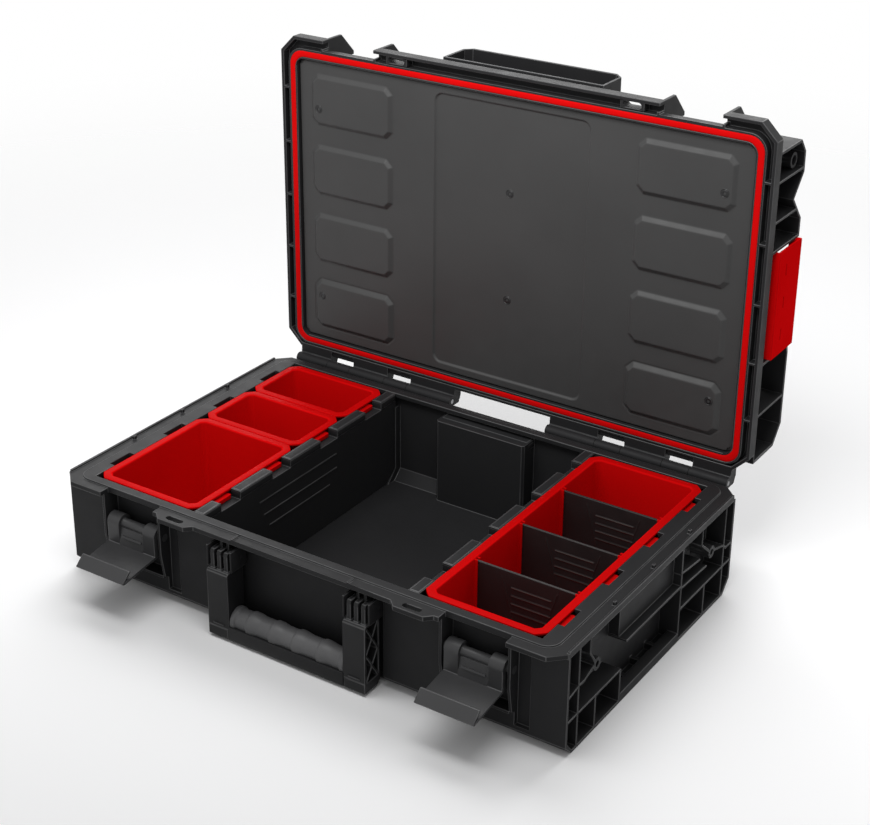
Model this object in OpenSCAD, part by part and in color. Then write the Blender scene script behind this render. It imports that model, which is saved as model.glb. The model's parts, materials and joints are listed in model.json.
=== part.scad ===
/* [Case] */
// Width of the case over the rim of the base
case_w = 576; // [560:1:640]
// Depth of the rim of the base, front to back
case_d = 358; // [352:1:400]
// Height of the base up to the plane where the lid meets it
base_h = 110; // [104:1:125]
// Height of the lid above that plane
lid_h = 76; // [74:1:85]
// Angle of the lid when it stands open
lid_open = 90; // [70:1:92]

/* [Walls] */
// Thickness of the moulded walls of base and lid
wall = 3; // [2.5:0.1:3.4]
// Thickness of the floor of the base
floor_t = 4; // [3:0.5:6]
// Thickness of the ribs in the side frames
rib_t = 2.4; // [1.8:0.1:3]
// Thickness of the walls of the bins
bin_wall = 2; // [1.5:0.1:2.5]

/* [Base] */
// Overhang of the rim in front of the front wall
front_in = 14; // [12:0.5:16]
// Overhang of the rim behind the back wall
back_in = 5; // [4:0.5:7]
// Depth of the open side frames
side_in = 20; // [18:0.5:22]
// Thickness of the rim plate
rim_t = 5; // [4:0.5:6]
// Corner chamfer of the rim
rim_cut = 15; // [10:0.5:18]
// Chamfer under the front of the base
front_cut = 11; // [6:0.5:14]
// Chamfer under the back of the base
back_cut = 14; // [8:0.5:18]
// Distance of the sealing land from the rim's side edges
land_in = 14; // [13:0.5:15]
// Width of the ledge inside the side walls
ledge_w = 11; // [9:0.5:13]

/* [Bins] */
// Width of every bin over its rim
bin_w = 126; // [118:1:126]
// Width of the rim of a bin
bin_rim = 6.5; // [5:0.5:7]
// Corner chamfer of a bin rim
bin_cut = 9; // [6:0.5:11]
// Width of a hanging tab
tab_w = 22; // [16:1:25]
// Width of a notch for a hanging tab
notch_w = 29; // [27:0.5:34]
// Thickness of a divider
divider_t = 2.4; // [1.8:0.1:3]
// Thickness of a partition at its top
partition_t = 12; // [10:0.5:13]

/* [Latches] */
// Distance of the middle of each latch from the side of the case
latch_in = 89; // [86:1:98]
// Width of a latch lever
lever_w = 61; // [52:1:62]
// Thickness of the lever plate
lever_t = 3; // [2.4:0.1:3.4]
// Diameter of a latch pin
latch_pin_d = 8; // [6:0.5:9]

/* [Handle] */
// Width of the handle over its arms
handle_w = 184; // [170:1:192]
// Width of each arm
arm_w = 25; // [22:0.5:27]
// Diameter of the grip
grip_d = 22; // [18:0.5:23]
// Diameter of a handle pin
handle_pin_d = 6; // [4:0.5:7]

/* [Hinge] */
// Distance of the first knuckle from the middle of the case
hinge_inner = 60; // [54:1:70]
// Diameter of a hinge pin
hinge_pin_d = 5; // [4:0.2:5.6]
// Outer radius of a hinge knuckle
knuckle_r = 6; // [5.4:0.1:6.4]

/* [Side clips] */
// Thickness of the plate of a side clip
clip_t = 3; // [2.4:0.1:3.6]
// Diameter of a clip pin
clip_pin_d = 4; // [3:0.2:4.4]

/* [Hidden] */
$fn = 48;

// Overrun of every cut past the face that it opens
over = 1;
// Radial clearance of a pin that turns
run_fit = 0.05;
// Gap between loose neighbours
loose = 0.4;
// Gap between a loose piece and what it stands on
seat = 0.3;

// Half sizes and main planes of the base
half_w = case_w / 2;
half_d = case_d / 2;
wall_front = front_in - half_d;
wall_back = half_d - back_in;
tub_x = half_w - side_in;
cavity_x = tub_x - wall;
cavity_front = wall_front + wall;
cavity_back = wall_back - wall;
// The rim plate lies a little below the plane of the lid
rim_drop = 2;
rim_top = base_h - rim_drop;
rim_under = rim_top - rim_t;
// The sealing land inside the rim
land_gap = 0.2;
land_top = base_h - land_gap;
land_x = half_w - land_in;
land_r = 14;
land_front_in = 11;
land_back_in = 7;
land_front = land_front_in - half_d;
land_back = half_d - land_back_in;
land_cy = (land_front + land_back) / 2;
land_d = land_back - land_front;
// The mouth of the base, inside its ledges
land_w = 5.5;
mouth_x = land_x - land_w - ledge_w;
mouth_front_lip = 6.5;
mouth_back_lip = 6;
mouth_front = wall_front + mouth_front_lip;
mouth_back = cavity_back - mouth_back_lip;
ledge_t = 5;

// Bin cells, counted from the front
cells = 4;
cells_gap = 1.2;
cells_gap_back = 2.3;
cells_front = mouth_front + cells_gap;
cell = (mouth_back - mouth_front - cells_gap - cells_gap_back) / cells;
bin_x1 = mouth_x - loose;
bin_x0 = bin_x1 - bin_w;
bin_cx = (bin_x0 + bin_x1) / 2;
bin_top = land_top;
bin_foot = floor_t + seat;
bin_rim_t = 2.4;
bin_gap = 0.8;
tab_out = 4;
tab_drop = 8.8;
tab_gap = 0.2;
notch_out = 6.4;
notch_drop = 9;
function cell_mid(i) = cells_front + cell * (i + 0.5);

// Partitions beside the bins
part_x1 = bin_x0 - loose;
part_x0 = part_x1 - partition_t;
part_front = mouth_front + seat;
part_back = mouth_back - seat;
part_top = land_top - loose;
part_skin = 2.6;
guide_t = 1.6;
guide_d = 9;

// Hinge between base and lid
hinge_out = 10;
hinge_down = 4;
hinge_y = half_d + hinge_out;
hinge_z = base_h - hinge_down;
hinge_side_in = 18;
hinge_outer = half_w - hinge_side_in;
// Middles of the base knuckles, as shares of a hinge group
base_knuckle_shares = [0.352, 0.724];
base_knuckle_l = 30;
knuckle_gap = 0.5;
web_t = 4;

// Rim plane and outline of the lid, in its closed place
seam = 0.4;
lid_z = base_h + seam;
lid_front_over = 7;
lid_back_in = 3;
lid_front = -half_d - lid_front_over;
lid_back = half_d - lid_back_in;
lid_cy = (lid_front + lid_back) / 2;
lid_d = lid_back - lid_front;
lid_cut = 17;
lid_rim_h = 13;
lid_rim_t = 3.6;
lid_top = lid_z + lid_h;
roof_in = 6;
roof_top = lid_top - roof_in;
// The lid's body behind the side frames
body_in = 26;
body_x = half_w - body_in;
body_front_in = 25;
body_front = lid_front + body_front_in;
body_back_in = 5;
body_back = lid_back - body_back_in;
// Seal ring in the lid
seal_w = 6.6;
seal_out = 12;
seal_front_in = 14.7;
seal_back_in = 7;
seal_r = 16;
seal_h = 4;
seal_x = half_w - seal_out;
seal_front = lid_front + seal_front_in;
seal_back = lid_back - seal_back_in;
seal_cy = (seal_front + seal_back) / 2;
seal_d = seal_back - seal_front;
groove_wall = 2.4;
// Inner panel of the lid
panel_gap = 0.8;
panel_x = seal_x - seal_w - groove_wall - panel_gap;
panel_front = seal_front + seal_w + groove_wall + panel_gap;
panel_back = seal_back - seal_w - groove_wall - panel_gap;
panel_cy = (panel_front + panel_back) / 2;
panel_d = panel_back - panel_front;
panel_in = 4;
panel_t = 2.6;
panel_r = 8;
pad_rise = 3.5;
pad_w = 106;
pad_inset = 16;
pad_cut = 9;
pads = 4;
pads_margin = 4.7;
pad_gap = 22;
pad_pitch = (panel_d - pads_margin) / pads;
pad_d = pad_pitch - pad_gap;
pad_steps = 2;
pad_step = 3;
centre_w = 184;
centre_drop = 1.8;
centre_r = 10;
screw_d = 9;
screw_shank_d = 4;
screw_l = 12;
screw_side_inset = 27;
screw_side_end = 51.4;
screw_mid_end = 101.4;
screw_side_pitch = panel_d - 2 * screw_side_end;
screw_mid_pitch = panel_d - 2 * screw_mid_end;
screw_boss_d = 10;

// Latch recess in the lid
latch_x = half_w - latch_in;
recess_gap = 2;
recess_w = lever_w + 2 * recess_gap;
strike_in = 11.5;
strike_y = lid_front + strike_in;
strike_clear = 0.5;
strike_deep = 6;
gusset_t = 3;
gusset_h = 34;
gusset_slope = 22;

// Latch lever, seen from the side, about its pin
pin_down = 36;
pin_out = 2;
pin_y = wall_front - pin_out;
pin_z = base_h - pin_down;
lever_arm_w = 15;
lever_knuckle_r = 9;
lever_arm_front = 9;
lever_arm_back = 6;
lever_arm_down = 20;
lever_reach = 53;
lever_fall = 26.4;
lip_back = 10.5;
lip_up = 7.4;
lip_t = 2.6;
// The tip of the lip swings round the pin and lands just over the strike
lip_tip_r = norm([lip_back - lever_reach, lip_up - lever_fall]);
strike_top = pin_z + sqrt(lip_tip_r * lip_tip_r - (strike_y - pin_y) * (strike_y - pin_y)) - strike_clear;
// Latch pocket in the front wall
pocket_gap = 3.5;
pocket_w = lever_w + 2 * pocket_gap;
pocket_deep = 9.5;
pocket_top = rim_under;
pocket_foot = 31;
cheek_t = 3;
cheek_out = 9;
slot_panel_w = 15;
slot_panel_deep = 5;
slot_panel_foot = 15;
slot_hole_d = 5;

// Carry handle
handle_out = 9;
handle_front = half_d + handle_out;
handle_recess_in = 8;
handle_gap = 4;
handle_recess_w = handle_w + 2 * handle_gap;
handle_foot = 3;
arm_d = 24;
arm_top = 75;
arm_top_cut = 2;
handle_pin_y = 9.5;
handle_pin_down = 23;
handle_pin_z = base_h - handle_pin_down;
prong_r = 8;
prong_t = 4.6;
prong_out = 14.5;
prong_arc_r = 15;
beam_h = 11;
grip_in = 1.5;
grip_down = 3;
rib_rise = 0.6;
collar_shares = [0.145, 0.35, 0.555, 0.77];
collar_rise = 1.4;
collar_l = 5;
collar_fade = 12;

// Side clip
clip_axis_in = 3;
clip_axis_x = half_w - clip_axis_in;
clip_axis_down = 6;
clip_axis_z = lid_top - clip_axis_down;
clip_out = 4;
clip_foot = 22;
clip_knuckle_r = 4.6;
clip_hook = 7;
slit_pitch = 34;
slit_l = 11;
slit_h = 1.5;
slit_down = 29;

// Places a piece of the lid as it stands open
module opened() {
    translate([0, hinge_y, hinge_z])
        rotate([-lid_open, 0, 0])
            translate([0, -hinge_y, -hinge_z])
                children();
}

// Both sides of the case alike
module both_sides() {
    children();
    mirror([1, 0, 0]) children();
}

// A flat shape drawn as (y, z) and carried along x from x0 to x1
module along_x(x0, x1) {
    translate([x0, 0, 0])
        rotate([90, 0, 90])
            linear_extrude(x1 - x0) children();
}

// A box between two corners
module block(a, b) {
    translate(a) cube(b - a);
}

// A plate with chamfered corners, centred on x and y
module chamfered(w, d, c) {
    polygon([[-w / 2 + c, -d / 2], [w / 2 - c, -d / 2], [w / 2, -d / 2 + c], [w / 2, d / 2 - c],
        [w / 2 - c, d / 2], [-w / 2 + c, d / 2], [-w / 2, d / 2 - c], [-w / 2, -d / 2 + c]]);
}

// A plate with round corners, centred on x and y
module rounded(w, d, r) {
    square([w - 2 * r, d], center = true);
    square([w, d - 2 * r], center = true);
    for (x = [r - w / 2, w / 2 - r], y = [r - d / 2, d / 2 - r])
        translate([x, y]) circle(r);
}

// A straight rib of thickness t between two points
module strip(p, q, t) {
    span = norm(q - p);
    translate(p)
        rotate(atan2(q[1] - p[1], q[0] - p[0]))
            translate([-t / 2, -t / 2]) square([span + t, t]);
}

// A chain of straight ribs
module chain(points, t) {
    for (i = [0 : len(points) - 2]) strip(points[i], points[i + 1], t);
}

// Side frame of the base, drawn as (y, z)
frame_front = wall_front;
frame_back_in = 11;
frame_back = half_d - frame_back_in;
frame_l = frame_back - frame_front;
block_y_shares = [0.297, 0.655];
block_front_y = frame_front + frame_l * block_y_shares[0];
block_rear_y = frame_front + frame_l * block_y_shares[1];
block_top_share = 0.35;
shelf_top_share = 0.60;
block_top = rim_under * block_top_share;
shelf_top = rim_under * shelf_top_share;
lug_shares = [0.25, 0.5, 0.75];
// A wall's corner on a slope of 45 degrees moves by this share of its thickness
lean_share = tan(22.5);
double_rib = 20;
panel_side_in = 9;
bar_h = 10;
bar_d = 11;
boss_r = 6.5;
boss_hole_r = 3;
// Corners of the branched ribs, as shares of the frame's length and height
front_branch_shares = [[0, 0.59], [0.06, 0.63], [0.09, 0.63], [0.15, 0.70]];
front_stem_shares = [[0.115, 1], [0.115, 0.85], [0.15, 0.70]];
rear_branch_shares = [[1, 0.54], [0.955, 0.54], [0.93, 0.60], [0.855, 0.66]];
rear_stem_shares = [[0.78, 1], [0.78, 0.84], [0.84, 0.68]];
rear_cross_shares = [[[0.655, 0.74], [0.77, 0.70]], [[0.655, 0.58], [0.82, 0.55]]];
front_boss_share = [0.155, 0.68];
rear_boss_share = [0.85, 0.66];

function frame_at(share) = [frame_front + frame_l * share[0], rim_under * share[1]];
function frame_path(shares) = [for (s = shares) frame_at(s)];

module frame_outline(t) {
    lean = t * lean_share;
    polygon([[frame_front + t, rim_under + over], [frame_front + t, front_cut + lean],
        [frame_front + front_cut + lean, t], [frame_back - back_cut - lean, t],
        [frame_back - t, back_cut + lean], [frame_back - t, rim_under + over]]);
}

module side_web() {
    intersection() {
        frame_outline(0);
        union() {
            difference() {
                frame_outline(0);
                frame_outline(wall);
            }
            strip([frame_front + double_rib, 0], [frame_front + double_rib, rim_under + over], rib_t);
            strip([frame_back - double_rib, 0], [frame_back - double_rib, rim_under + over], rib_t);
            strip([frame_front, block_top], [block_front_y, block_top], rib_t);
            strip([block_front_y, 0], [block_front_y, block_top], rib_t);
            strip([block_rear_y, block_top], [frame_back, block_top], rib_t);
            strip([block_rear_y, 0], [block_rear_y, rim_under + over], rib_t);
            strip([block_front_y + double_rib / 2, shelf_top], [block_rear_y, shelf_top], rib_t);
            chain(frame_path(front_branch_shares), rib_t);
            chain(frame_path(front_stem_shares), rib_t);
            chain(frame_path(rear_branch_shares), rib_t);
            chain(frame_path(rear_stem_shares), rib_t);
            for (path = rear_cross_shares) chain(frame_path(path), rib_t);
            for (share = [front_boss_share, rear_boss_share]) translate(frame_at(share)) circle(boss_r);
            for (y = [(frame_front + block_front_y) / 2 + wall, (block_rear_y + frame_back) / 2 - wall])
                strip([y, 0], [y, block_top], rib_t);
        }
    }
}

module side_frame() {
    difference() {
        union() {
            along_x(tub_x - wall / 2, half_w) side_web();
            // Bare middle panel, a little inside the outer plane
            block([tub_x - wall / 2, block_front_y + double_rib / 2, shelf_top],
                [half_w - panel_side_in, block_rear_y, rim_under + over]);
            // Bar that a clip of the next case hooks under
            block([half_w - bar_d, block_front_y, 0], [half_w, block_rear_y, bar_h]);
            for (share = lug_shares) {
                y = block_front_y + (block_rear_y - block_front_y) * share;
                block([tub_x - wall / 2, y - rib_t, 0], [half_w - bar_d + over, y + rib_t, bar_h]);
            }
        }
        // Hollow of the bosses
        for (share = [front_boss_share, rear_boss_share])
            translate([half_w - panel_side_in, frame_at(share)[0], frame_at(share)[1]])
                rotate([0, 90, 0]) cylinder(h = panel_side_in + over, r = boss_hole_r);
    }
}

// Outer tub of the base with its chamfered underside
module tub_outline() {
    polygon([[wall_front, rim_top], [wall_front, front_cut], [wall_front + front_cut, 0],
        [wall_back - back_cut, 0], [wall_back, back_cut], [wall_back, rim_top]]);
}

module cavity_outline() {
    lean = wall * lean_share;
    polygon([[cavity_front, rim_under], [cavity_front, front_cut + lean],
        [cavity_front + front_cut + lean - wall, floor_t], [cavity_back - back_cut - lean + wall, floor_t],
        [cavity_back, back_cut + lean], [cavity_back, rim_under]]);
}

// Lips along both sides of the rim, with three small bumps beside each
lip_w = 2.6;
lip_bump_w = 4;
lip_bump_in = 7;
bump_h = 2;
bump_pitch = 75;
module rim_lip() {
    block([half_w - lip_w, rim_cut - half_d, rim_top - over], [half_w, half_d - rim_cut, base_h]);
    for (i = [-1 : 1])
        block([half_w - lip_bump_in, i * bump_pitch - lip_bump_w / 2, rim_top - over],
            [half_w - lip_bump_in + wall, i * bump_pitch + lip_bump_w / 2, base_h + bump_h]);
}

// Tabs with a slot for a padlock, in front of the rim
tab_in = 62;
tab_x = latch_x - tab_in;
tab_plate_w = 46;
tab_plate_out = 7;
padlock_w = 20;
padlock_d = 6;
module padlock_tab() {
    translate([tab_x, -half_d]) {
        square([tab_plate_w - 2 * tab_plate_out, 2 * tab_plate_out], center = true);
        polygon([[-tab_plate_w / 2, 0], [tab_plate_out - tab_plate_w / 2, -tab_plate_out],
            [tab_plate_w / 2 - tab_plate_out, -tab_plate_out], [tab_plate_w / 2, 0]]);
    }
}
module padlock_slot() {
    translate([tab_x, -half_d]) {
        square([padlock_w - padlock_d, padlock_d], center = true);
        for (s = [-1, 1]) translate([s * (padlock_w - padlock_d) / 2, 0]) circle(padlock_d / 2);
    }
}

// One hinge knuckle, centred at x, with the web that carries it
module base_knuckle(x) {
    translate([x - base_knuckle_l / 2, 0, 0]) {
        translate([0, hinge_y, hinge_z]) rotate([0, 90, 0]) cylinder(h = base_knuckle_l, r = knuckle_r);
        block([0, half_d - wall, hinge_z - knuckle_r],
            [base_knuckle_l, hinge_y, hinge_z - knuckle_r + web_t]);
        rib_h = 3 * knuckle_r;
        for (s = [0, base_knuckle_l - rib_t])
            along_x(s, s + rib_t)
                polygon([[wall_back - wall / 2, hinge_z - knuckle_r - rib_h],
                    [wall_back - wall / 2, hinge_z - knuckle_r],
                    [hinge_y, hinge_z - knuckle_r + web_t / 2], [hinge_y, hinge_z - knuckle_r - web_t / 2]]);
    }
}

function base_knuckle_x(i) = hinge_inner + (hinge_outer - hinge_inner) * base_knuckle_shares[i];

// Bump of the back wall into the middle compartment
bump_w = 110;
bump_d = 22;
bump_top = 101;
bump_cut = 2.5;
module back_bump(t) {
    translate([0, cavity_back, 0])
        linear_extrude(bump_top - t)
            polygon([[t - bump_w / 2, over], [t - bump_w / 2, t - bump_d + bump_cut],
                [t - bump_w / 2 + bump_cut, t - bump_d], [bump_w / 2 - bump_cut - t, t - bump_d],
                [bump_w / 2 - t, t - bump_d + bump_cut], [bump_w / 2 - t, over]]);
}

// A line down a wall and its chamfer, at depth w inside the outer face of that wall
function guide_line(edge, way, cut, w) = [[edge + way * w, rim_under - notch_drop],
    [edge + way * w, cut + w * lean_share], [edge + way * (w + cut + w * lean_share - over), over]];

// The profile of a guide rail between two such lines
module guide_outline(edge, way, cut) {
    inner = guide_line(edge, way, cut, wall + guide_d);
    polygon(concat(guide_line(edge, way, cut, over), [for (i = [2 : -1 : 0]) inner[i]]));
}

// Guide rails for a partition on the front and back walls
module partition_guides() {
    for (x = [part_x0 - loose - guide_t, part_x1 + loose]) {
        along_x(x, x + guide_t) guide_outline(wall_front, 1, front_cut);
        along_x(x, x + guide_t) guide_outline(wall_back, -1, back_cut);
    }
}

// Lugs that carry the handle between its prongs
lug_t = 3.4;
lug_pitch = prong_t + lug_t;
lug_r = 5.6;
module handle_lugs() {
    arm_mid = (handle_w - arm_w) / 2;
    for (i = [-1, 1]) {
        x = arm_mid + i * lug_pitch / 2;
        difference() {
            along_x(x - lug_t / 2 + loose / 2, x + lug_t / 2 - loose / 2)
                polygon([[wall_front + handle_recess_in + wall / 2, rim_under],
                    [handle_pin_y - half_d - lug_r, rim_under],
                    [handle_pin_y - half_d - lug_r, handle_pin_z - lug_r],
                    [wall_front + handle_recess_in + wall / 2, handle_pin_z - 2 * prong_r]]);
            translate([0, handle_pin_y - half_d, handle_pin_z])
                rotate([0, 90, 0]) cylinder(h = half_w, r = handle_pin_d / 2 + run_fit);
        }
    }
}

// Latch pocket, seen from the front, centred at x
module latch_pocket(x) {
    block([x - pocket_w / 2, -half_d, pocket_foot],
        [x + pocket_w / 2, wall_front + pocket_deep, pocket_top]);
    // Open above, in front of the sealing land
    block([x - pocket_w / 2, -half_d - over, pocket_top - over],
        [x + pocket_w / 2, land_front, base_h + over]);
    x1 = x + pocket_w / 2 + cheek_t;
    block([x1, -half_d, slot_panel_foot],
        [x1 + slot_panel_w, wall_front + slot_panel_deep, pocket_top - wall]);
    translate([x1 + slot_panel_w / 2, wall_front, pocket_top - wall - 2 * slot_hole_d])
        rotate([-90, 0, 0]) cylinder(h = slot_panel_deep + wall / 2, r = slot_hole_d / 2);
}

// What stands proud of the front wall round a latch pocket
module latch_cheeks(x) {
    for (s = [-1, 1]) {
        x0 = x + s * (pocket_w + cheek_t) / 2;
        along_x(x0 - cheek_t / 2, x0 + cheek_t / 2)
            polygon([[wall_front + over, pocket_foot - cheek_t], [wall_front - cheek_out / 2, pocket_foot],
                [wall_front - cheek_out, pocket_foot + 3 * cheek_out],
                [wall_front - cheek_out, rim_under + over], [wall_front + over, rim_under + over]]);
    }
    block([x - pocket_w / 2, wall_front - cheek_out / 2, pocket_foot - cheek_t],
        [x + pocket_w / 2, wall_front + over, pocket_foot]);
    latch_back(x);
}

// Back of the pocket, and of the narrow panel beside it, inside the wall
module latch_back(x) {
    block([x - pocket_w / 2 - wall, wall_front, pocket_foot - wall],
        [x + pocket_w / 2 + wall, wall_front + pocket_deep + wall, land_top - ledge_t + over]);
    x1 = x + pocket_w / 2 + cheek_t;
    block([x1 - wall, wall_front, slot_panel_foot - wall],
        [x1 + slot_panel_w + wall, wall_front + slot_panel_deep + wall, land_top - ledge_t + over]);
}

module latch_pin_hole(x, r) {
    translate([x - pocket_w / 2 - cheek_t - over, pin_y, pin_z])
        rotate([0, 90, 0]) cylinder(h = pocket_w + 2 * cheek_t + 2 * over, r = r);
}

// Stiffening ribs behind the rim at the front, one beside each handle arm
rim_rib_l = 10;
module rim_rib(x) {
    block([x - rib_t / 2, -half_d, rim_under],
        [x + rib_t / 2, rim_rib_l - half_d, base_h - seam]);
}

module base_shell() {
    color([0.17, 0.17, 0.18])
    difference() {
        union() {
            difference() {
                union() {
                    along_x(-tub_x, tub_x) tub_outline();
                    // Front skin reaches out to the side frames
                    along_x(-half_w, half_w)
                        polygon([[wall_front, rim_top], [wall_front, front_cut], [wall_front + front_cut, 0],
                            [wall_front + front_cut + wall, 0], [wall_front + wall, front_cut + wall],
                            [wall_front + wall, rim_top]]);
                }
                along_x(-cavity_x, cavity_x) cavity_outline();
                // Recess behind the handle
                block([-handle_recess_w / 2, -half_d, -over],
                    [handle_recess_w / 2, wall_front + handle_recess_in, rim_under]);
            }
            // Wall behind the handle recess
            difference() {
                along_x(-handle_recess_w / 2 - wall, handle_recess_w / 2 + wall)
                    polygon([[wall_front, rim_under + over], [wall_front, front_cut + wall],
                        [wall_front + front_cut, 0], [wall_front + handle_recess_in + wall + floor_t, 0],
                        [wall_front + handle_recess_in + wall, floor_t + wall],
                        [wall_front + handle_recess_in + wall, rim_under + over]]);
                block([-handle_recess_w / 2, -half_d, -over],
                    [handle_recess_w / 2, wall_front + handle_recess_in, rim_under]);
            }
            // Rim plate and sealing land
            translate([0, 0, rim_under]) linear_extrude(rim_t) {
                chamfered(case_w, case_d, rim_cut);
                both_sides() padlock_tab();
            }
            translate([0, land_cy, rim_top - over])
                linear_extrude(land_top - rim_top + over) rounded(2 * land_x, land_d, land_r);
            both_sides() rim_lip();
            both_sides() side_frame();
            for (s = [-1, 1]) latch_cheeks(s * latch_x);
            back_bump(0);
            both_sides() for (i = [0, 1]) base_knuckle(base_knuckle_x(i));
            both_sides() rim_rib(handle_w / 2 - arm_w);
            both_sides() handle_lugs();
        }
        // Mouth of the base
        block([-mouth_x, mouth_front, land_top - ledge_t - over], [mouth_x, mouth_back, base_h + over]);
        difference() {
            block([-cavity_x, cavity_front, rim_under - over], [cavity_x, cavity_back, land_top - ledge_t]);
            // Backs of the latch pockets and of the handle recess run up to the rim
            for (s = [-1, 1]) latch_back(s * latch_x);
            block([-handle_recess_w / 2 - wall, wall_front, 0],
                [handle_recess_w / 2 + wall, wall_front + handle_recess_in + wall, base_h]);
        }
        // Notches for the hanging tabs of the bins
        both_sides() for (i = [0 : cells - 1])
            block([mouth_x - over, cell_mid(i) - notch_w / 2, rim_under - over],
                [mouth_x + notch_out, cell_mid(i) + notch_w / 2, base_h + over]);
        for (s = [-1, 1]) {
            latch_pocket(s * latch_x);
            latch_pin_hole(s * latch_x, latch_pin_d / 2 + run_fit);
        }
        translate([0, 0, rim_under - over]) linear_extrude(rim_t + 2 * over) both_sides() padlock_slot();
        // Hollow of the back bump, open to the outside
        translate([0, 2 * wall, -over]) back_bump(wall);
        translate([-hinge_outer - over, hinge_y, hinge_z])
            rotate([0, 90, 0]) cylinder(h = 2 * hinge_outer + 2 * over, r = hinge_pin_d / 2 + run_fit);
    }
    color([0.17, 0.17, 0.18]) both_sides() partition_guides();
}

// Everything of the lid below is drawn closed, then opened
function lid_at(share_y, share_z) = [hinge_y - lid_d * share_y, lid_z + lid_h * share_z];

// Outline of a side tower, from shares of the lid's depth and height
module lid_tower(shares_y, shares_z) {
    polygon([for (i = [0 : len(shares_y) - 1]) lid_at(shares_y[i], shares_z[i])]);
}

front_tower_y_shares = [0.672, 0.672, 0.726, 0.795, 0.857, 0.915, 0.955, 0.955];
front_tower_z_shares = [0.15, 1, 1, 0.71, 0.97, 0.96, 0.80, 0.15];
rear_tower_y_shares = [0.055, 0.110, 0.330, 0.360, 0.360, 0.055];
rear_tower_z_shares = [0.78, 1, 1, 0.97, 0.15, 0.15];
tower_rib_y_shares = [0.20, 0.76, 0.87];

module tower_web(shares_y, shares_z) {
    y_lo = min(shares_y);
    y_hi = max(shares_y);
    difference() {
        lid_tower(shares_y, shares_z);
        // The same outline drawn in from its ends, top and foot
        intersection() {
            translate([0, -wall]) lid_tower(shares_y, shares_z);
            translate([wall, 0]) lid_tower(shares_y, shares_z);
            translate([-wall, 0]) lid_tower(shares_y, shares_z);
            translate([hinge_y - lid_d * y_hi + wall, lid_z + lid_rim_h])
                square([lid_d * (y_hi - y_lo) - 2 * wall, lid_h]);
        }
    }
    intersection() {
        lid_tower(shares_y, shares_z);
        for (share = tower_rib_y_shares)
            strip([hinge_y - lid_d * share, lid_z], [hinge_y - lid_d * share, lid_top], rib_t);
    }
}

tower_boss_share = [0.90, 0.72];
tower_boss = lid_at(tower_boss_share[0], tower_boss_share[1]);
tower_boss_r = 8;
module lid_side() {
    along_x(body_x - wall / 2, half_w) {
        tower_web(front_tower_y_shares, front_tower_z_shares);
        tower_web(rear_tower_y_shares, rear_tower_z_shares);
    }
    difference() {
        translate([body_x - wall / 2, tower_boss[0], tower_boss[1]])
            rotate([0, 90, 0]) cylinder(h = half_w - body_x - wall, r = tower_boss_r);
        translate([body_x + wall, tower_boss[0], tower_boss[1]])
            rotate([0, 90, 0]) cylinder(h = half_w, r = tower_boss_r - wall);
    }
}

// A side clip fills the gap between the towers
tower_front_end = hinge_y - lid_d * front_tower_y_shares[0];
tower_rear_end = hinge_y - lid_d * rear_tower_y_shares[3];
clip_mid = (tower_front_end + tower_rear_end) / 2;
clip_l = tower_rear_end - tower_front_end - 2 * loose;

// Clip pin holes in the towers
module clip_pin_bore(r) {
    translate([clip_axis_x, clip_mid + clip_l / 2 + 2 * wall, clip_axis_z])
        rotate([90, 0, 0]) cylinder(h = clip_l + 4 * wall, r = r);
}

// Thin plates at both ends of a latch recess of the lid
module gusset(x) {
    along_x(x - gusset_t / 2, x + gusset_t / 2)
        polygon([[lid_front + lid_rim_t / 2, lid_z + wall], [lid_front, lid_z + wall],
            [lid_front, lid_z + gusset_h], [lid_front + gusset_slope, lid_z + gusset_h + gusset_slope],
            [body_front + over, lid_z + gusset_h + gusset_slope], [body_front + over, lid_z + wall]]);
}

// Loop in front of the lid, open at its front
loop_w = 187;
loop_x = 3;
loop_foot = 17;
loop_h = 46;
loop_out = 1.5;
loop_t = 2.6;
loop_cut = 9;
module front_loop() {
    translate([loop_x, lid_front - loop_out, lid_z + loop_foot])
        rotate([-90, 0, 0])
            linear_extrude(loop_out + body_front_in + over)
                difference() {
                    polygon([[-loop_w / 2, 0], [loop_w / 2, 0], [loop_w / 2, loop_cut - loop_h],
                        [loop_w / 2 - loop_cut, -loop_h], [loop_cut - loop_w / 2, -loop_h],
                        [-loop_w / 2, loop_cut - loop_h]]);
                    polygon([[loop_t - loop_w / 2, -loop_t], [loop_w / 2 - loop_t, -loop_t],
                        [loop_w / 2 - loop_t, loop_cut - loop_h],
                        [loop_w / 2 - loop_cut, loop_t - loop_h], [loop_cut - loop_w / 2, loop_t - loop_h],
                        [loop_t - loop_w / 2, loop_cut - loop_h]]);
                }
}

// Knuckles of the lid between those of the base
module lid_knuckle(x0, x1) {
    translate([x0, hinge_y, hinge_z]) rotate([0, 90, 0]) cylinder(h = x1 - x0, r = knuckle_r);
    along_x(x0, x1)
        polygon([[lid_back - wall, lid_z], [lid_back - wall, lid_z + lid_rim_h],
            [hinge_y - web_t / 2, lid_z + lid_rim_h], [hinge_y + knuckle_r, lid_z + lid_rim_h - web_t],
            [hinge_y + knuckle_r, hinge_z], [hinge_y, hinge_z], [hinge_y - knuckle_r + seam, lid_z]]);
}

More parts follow.
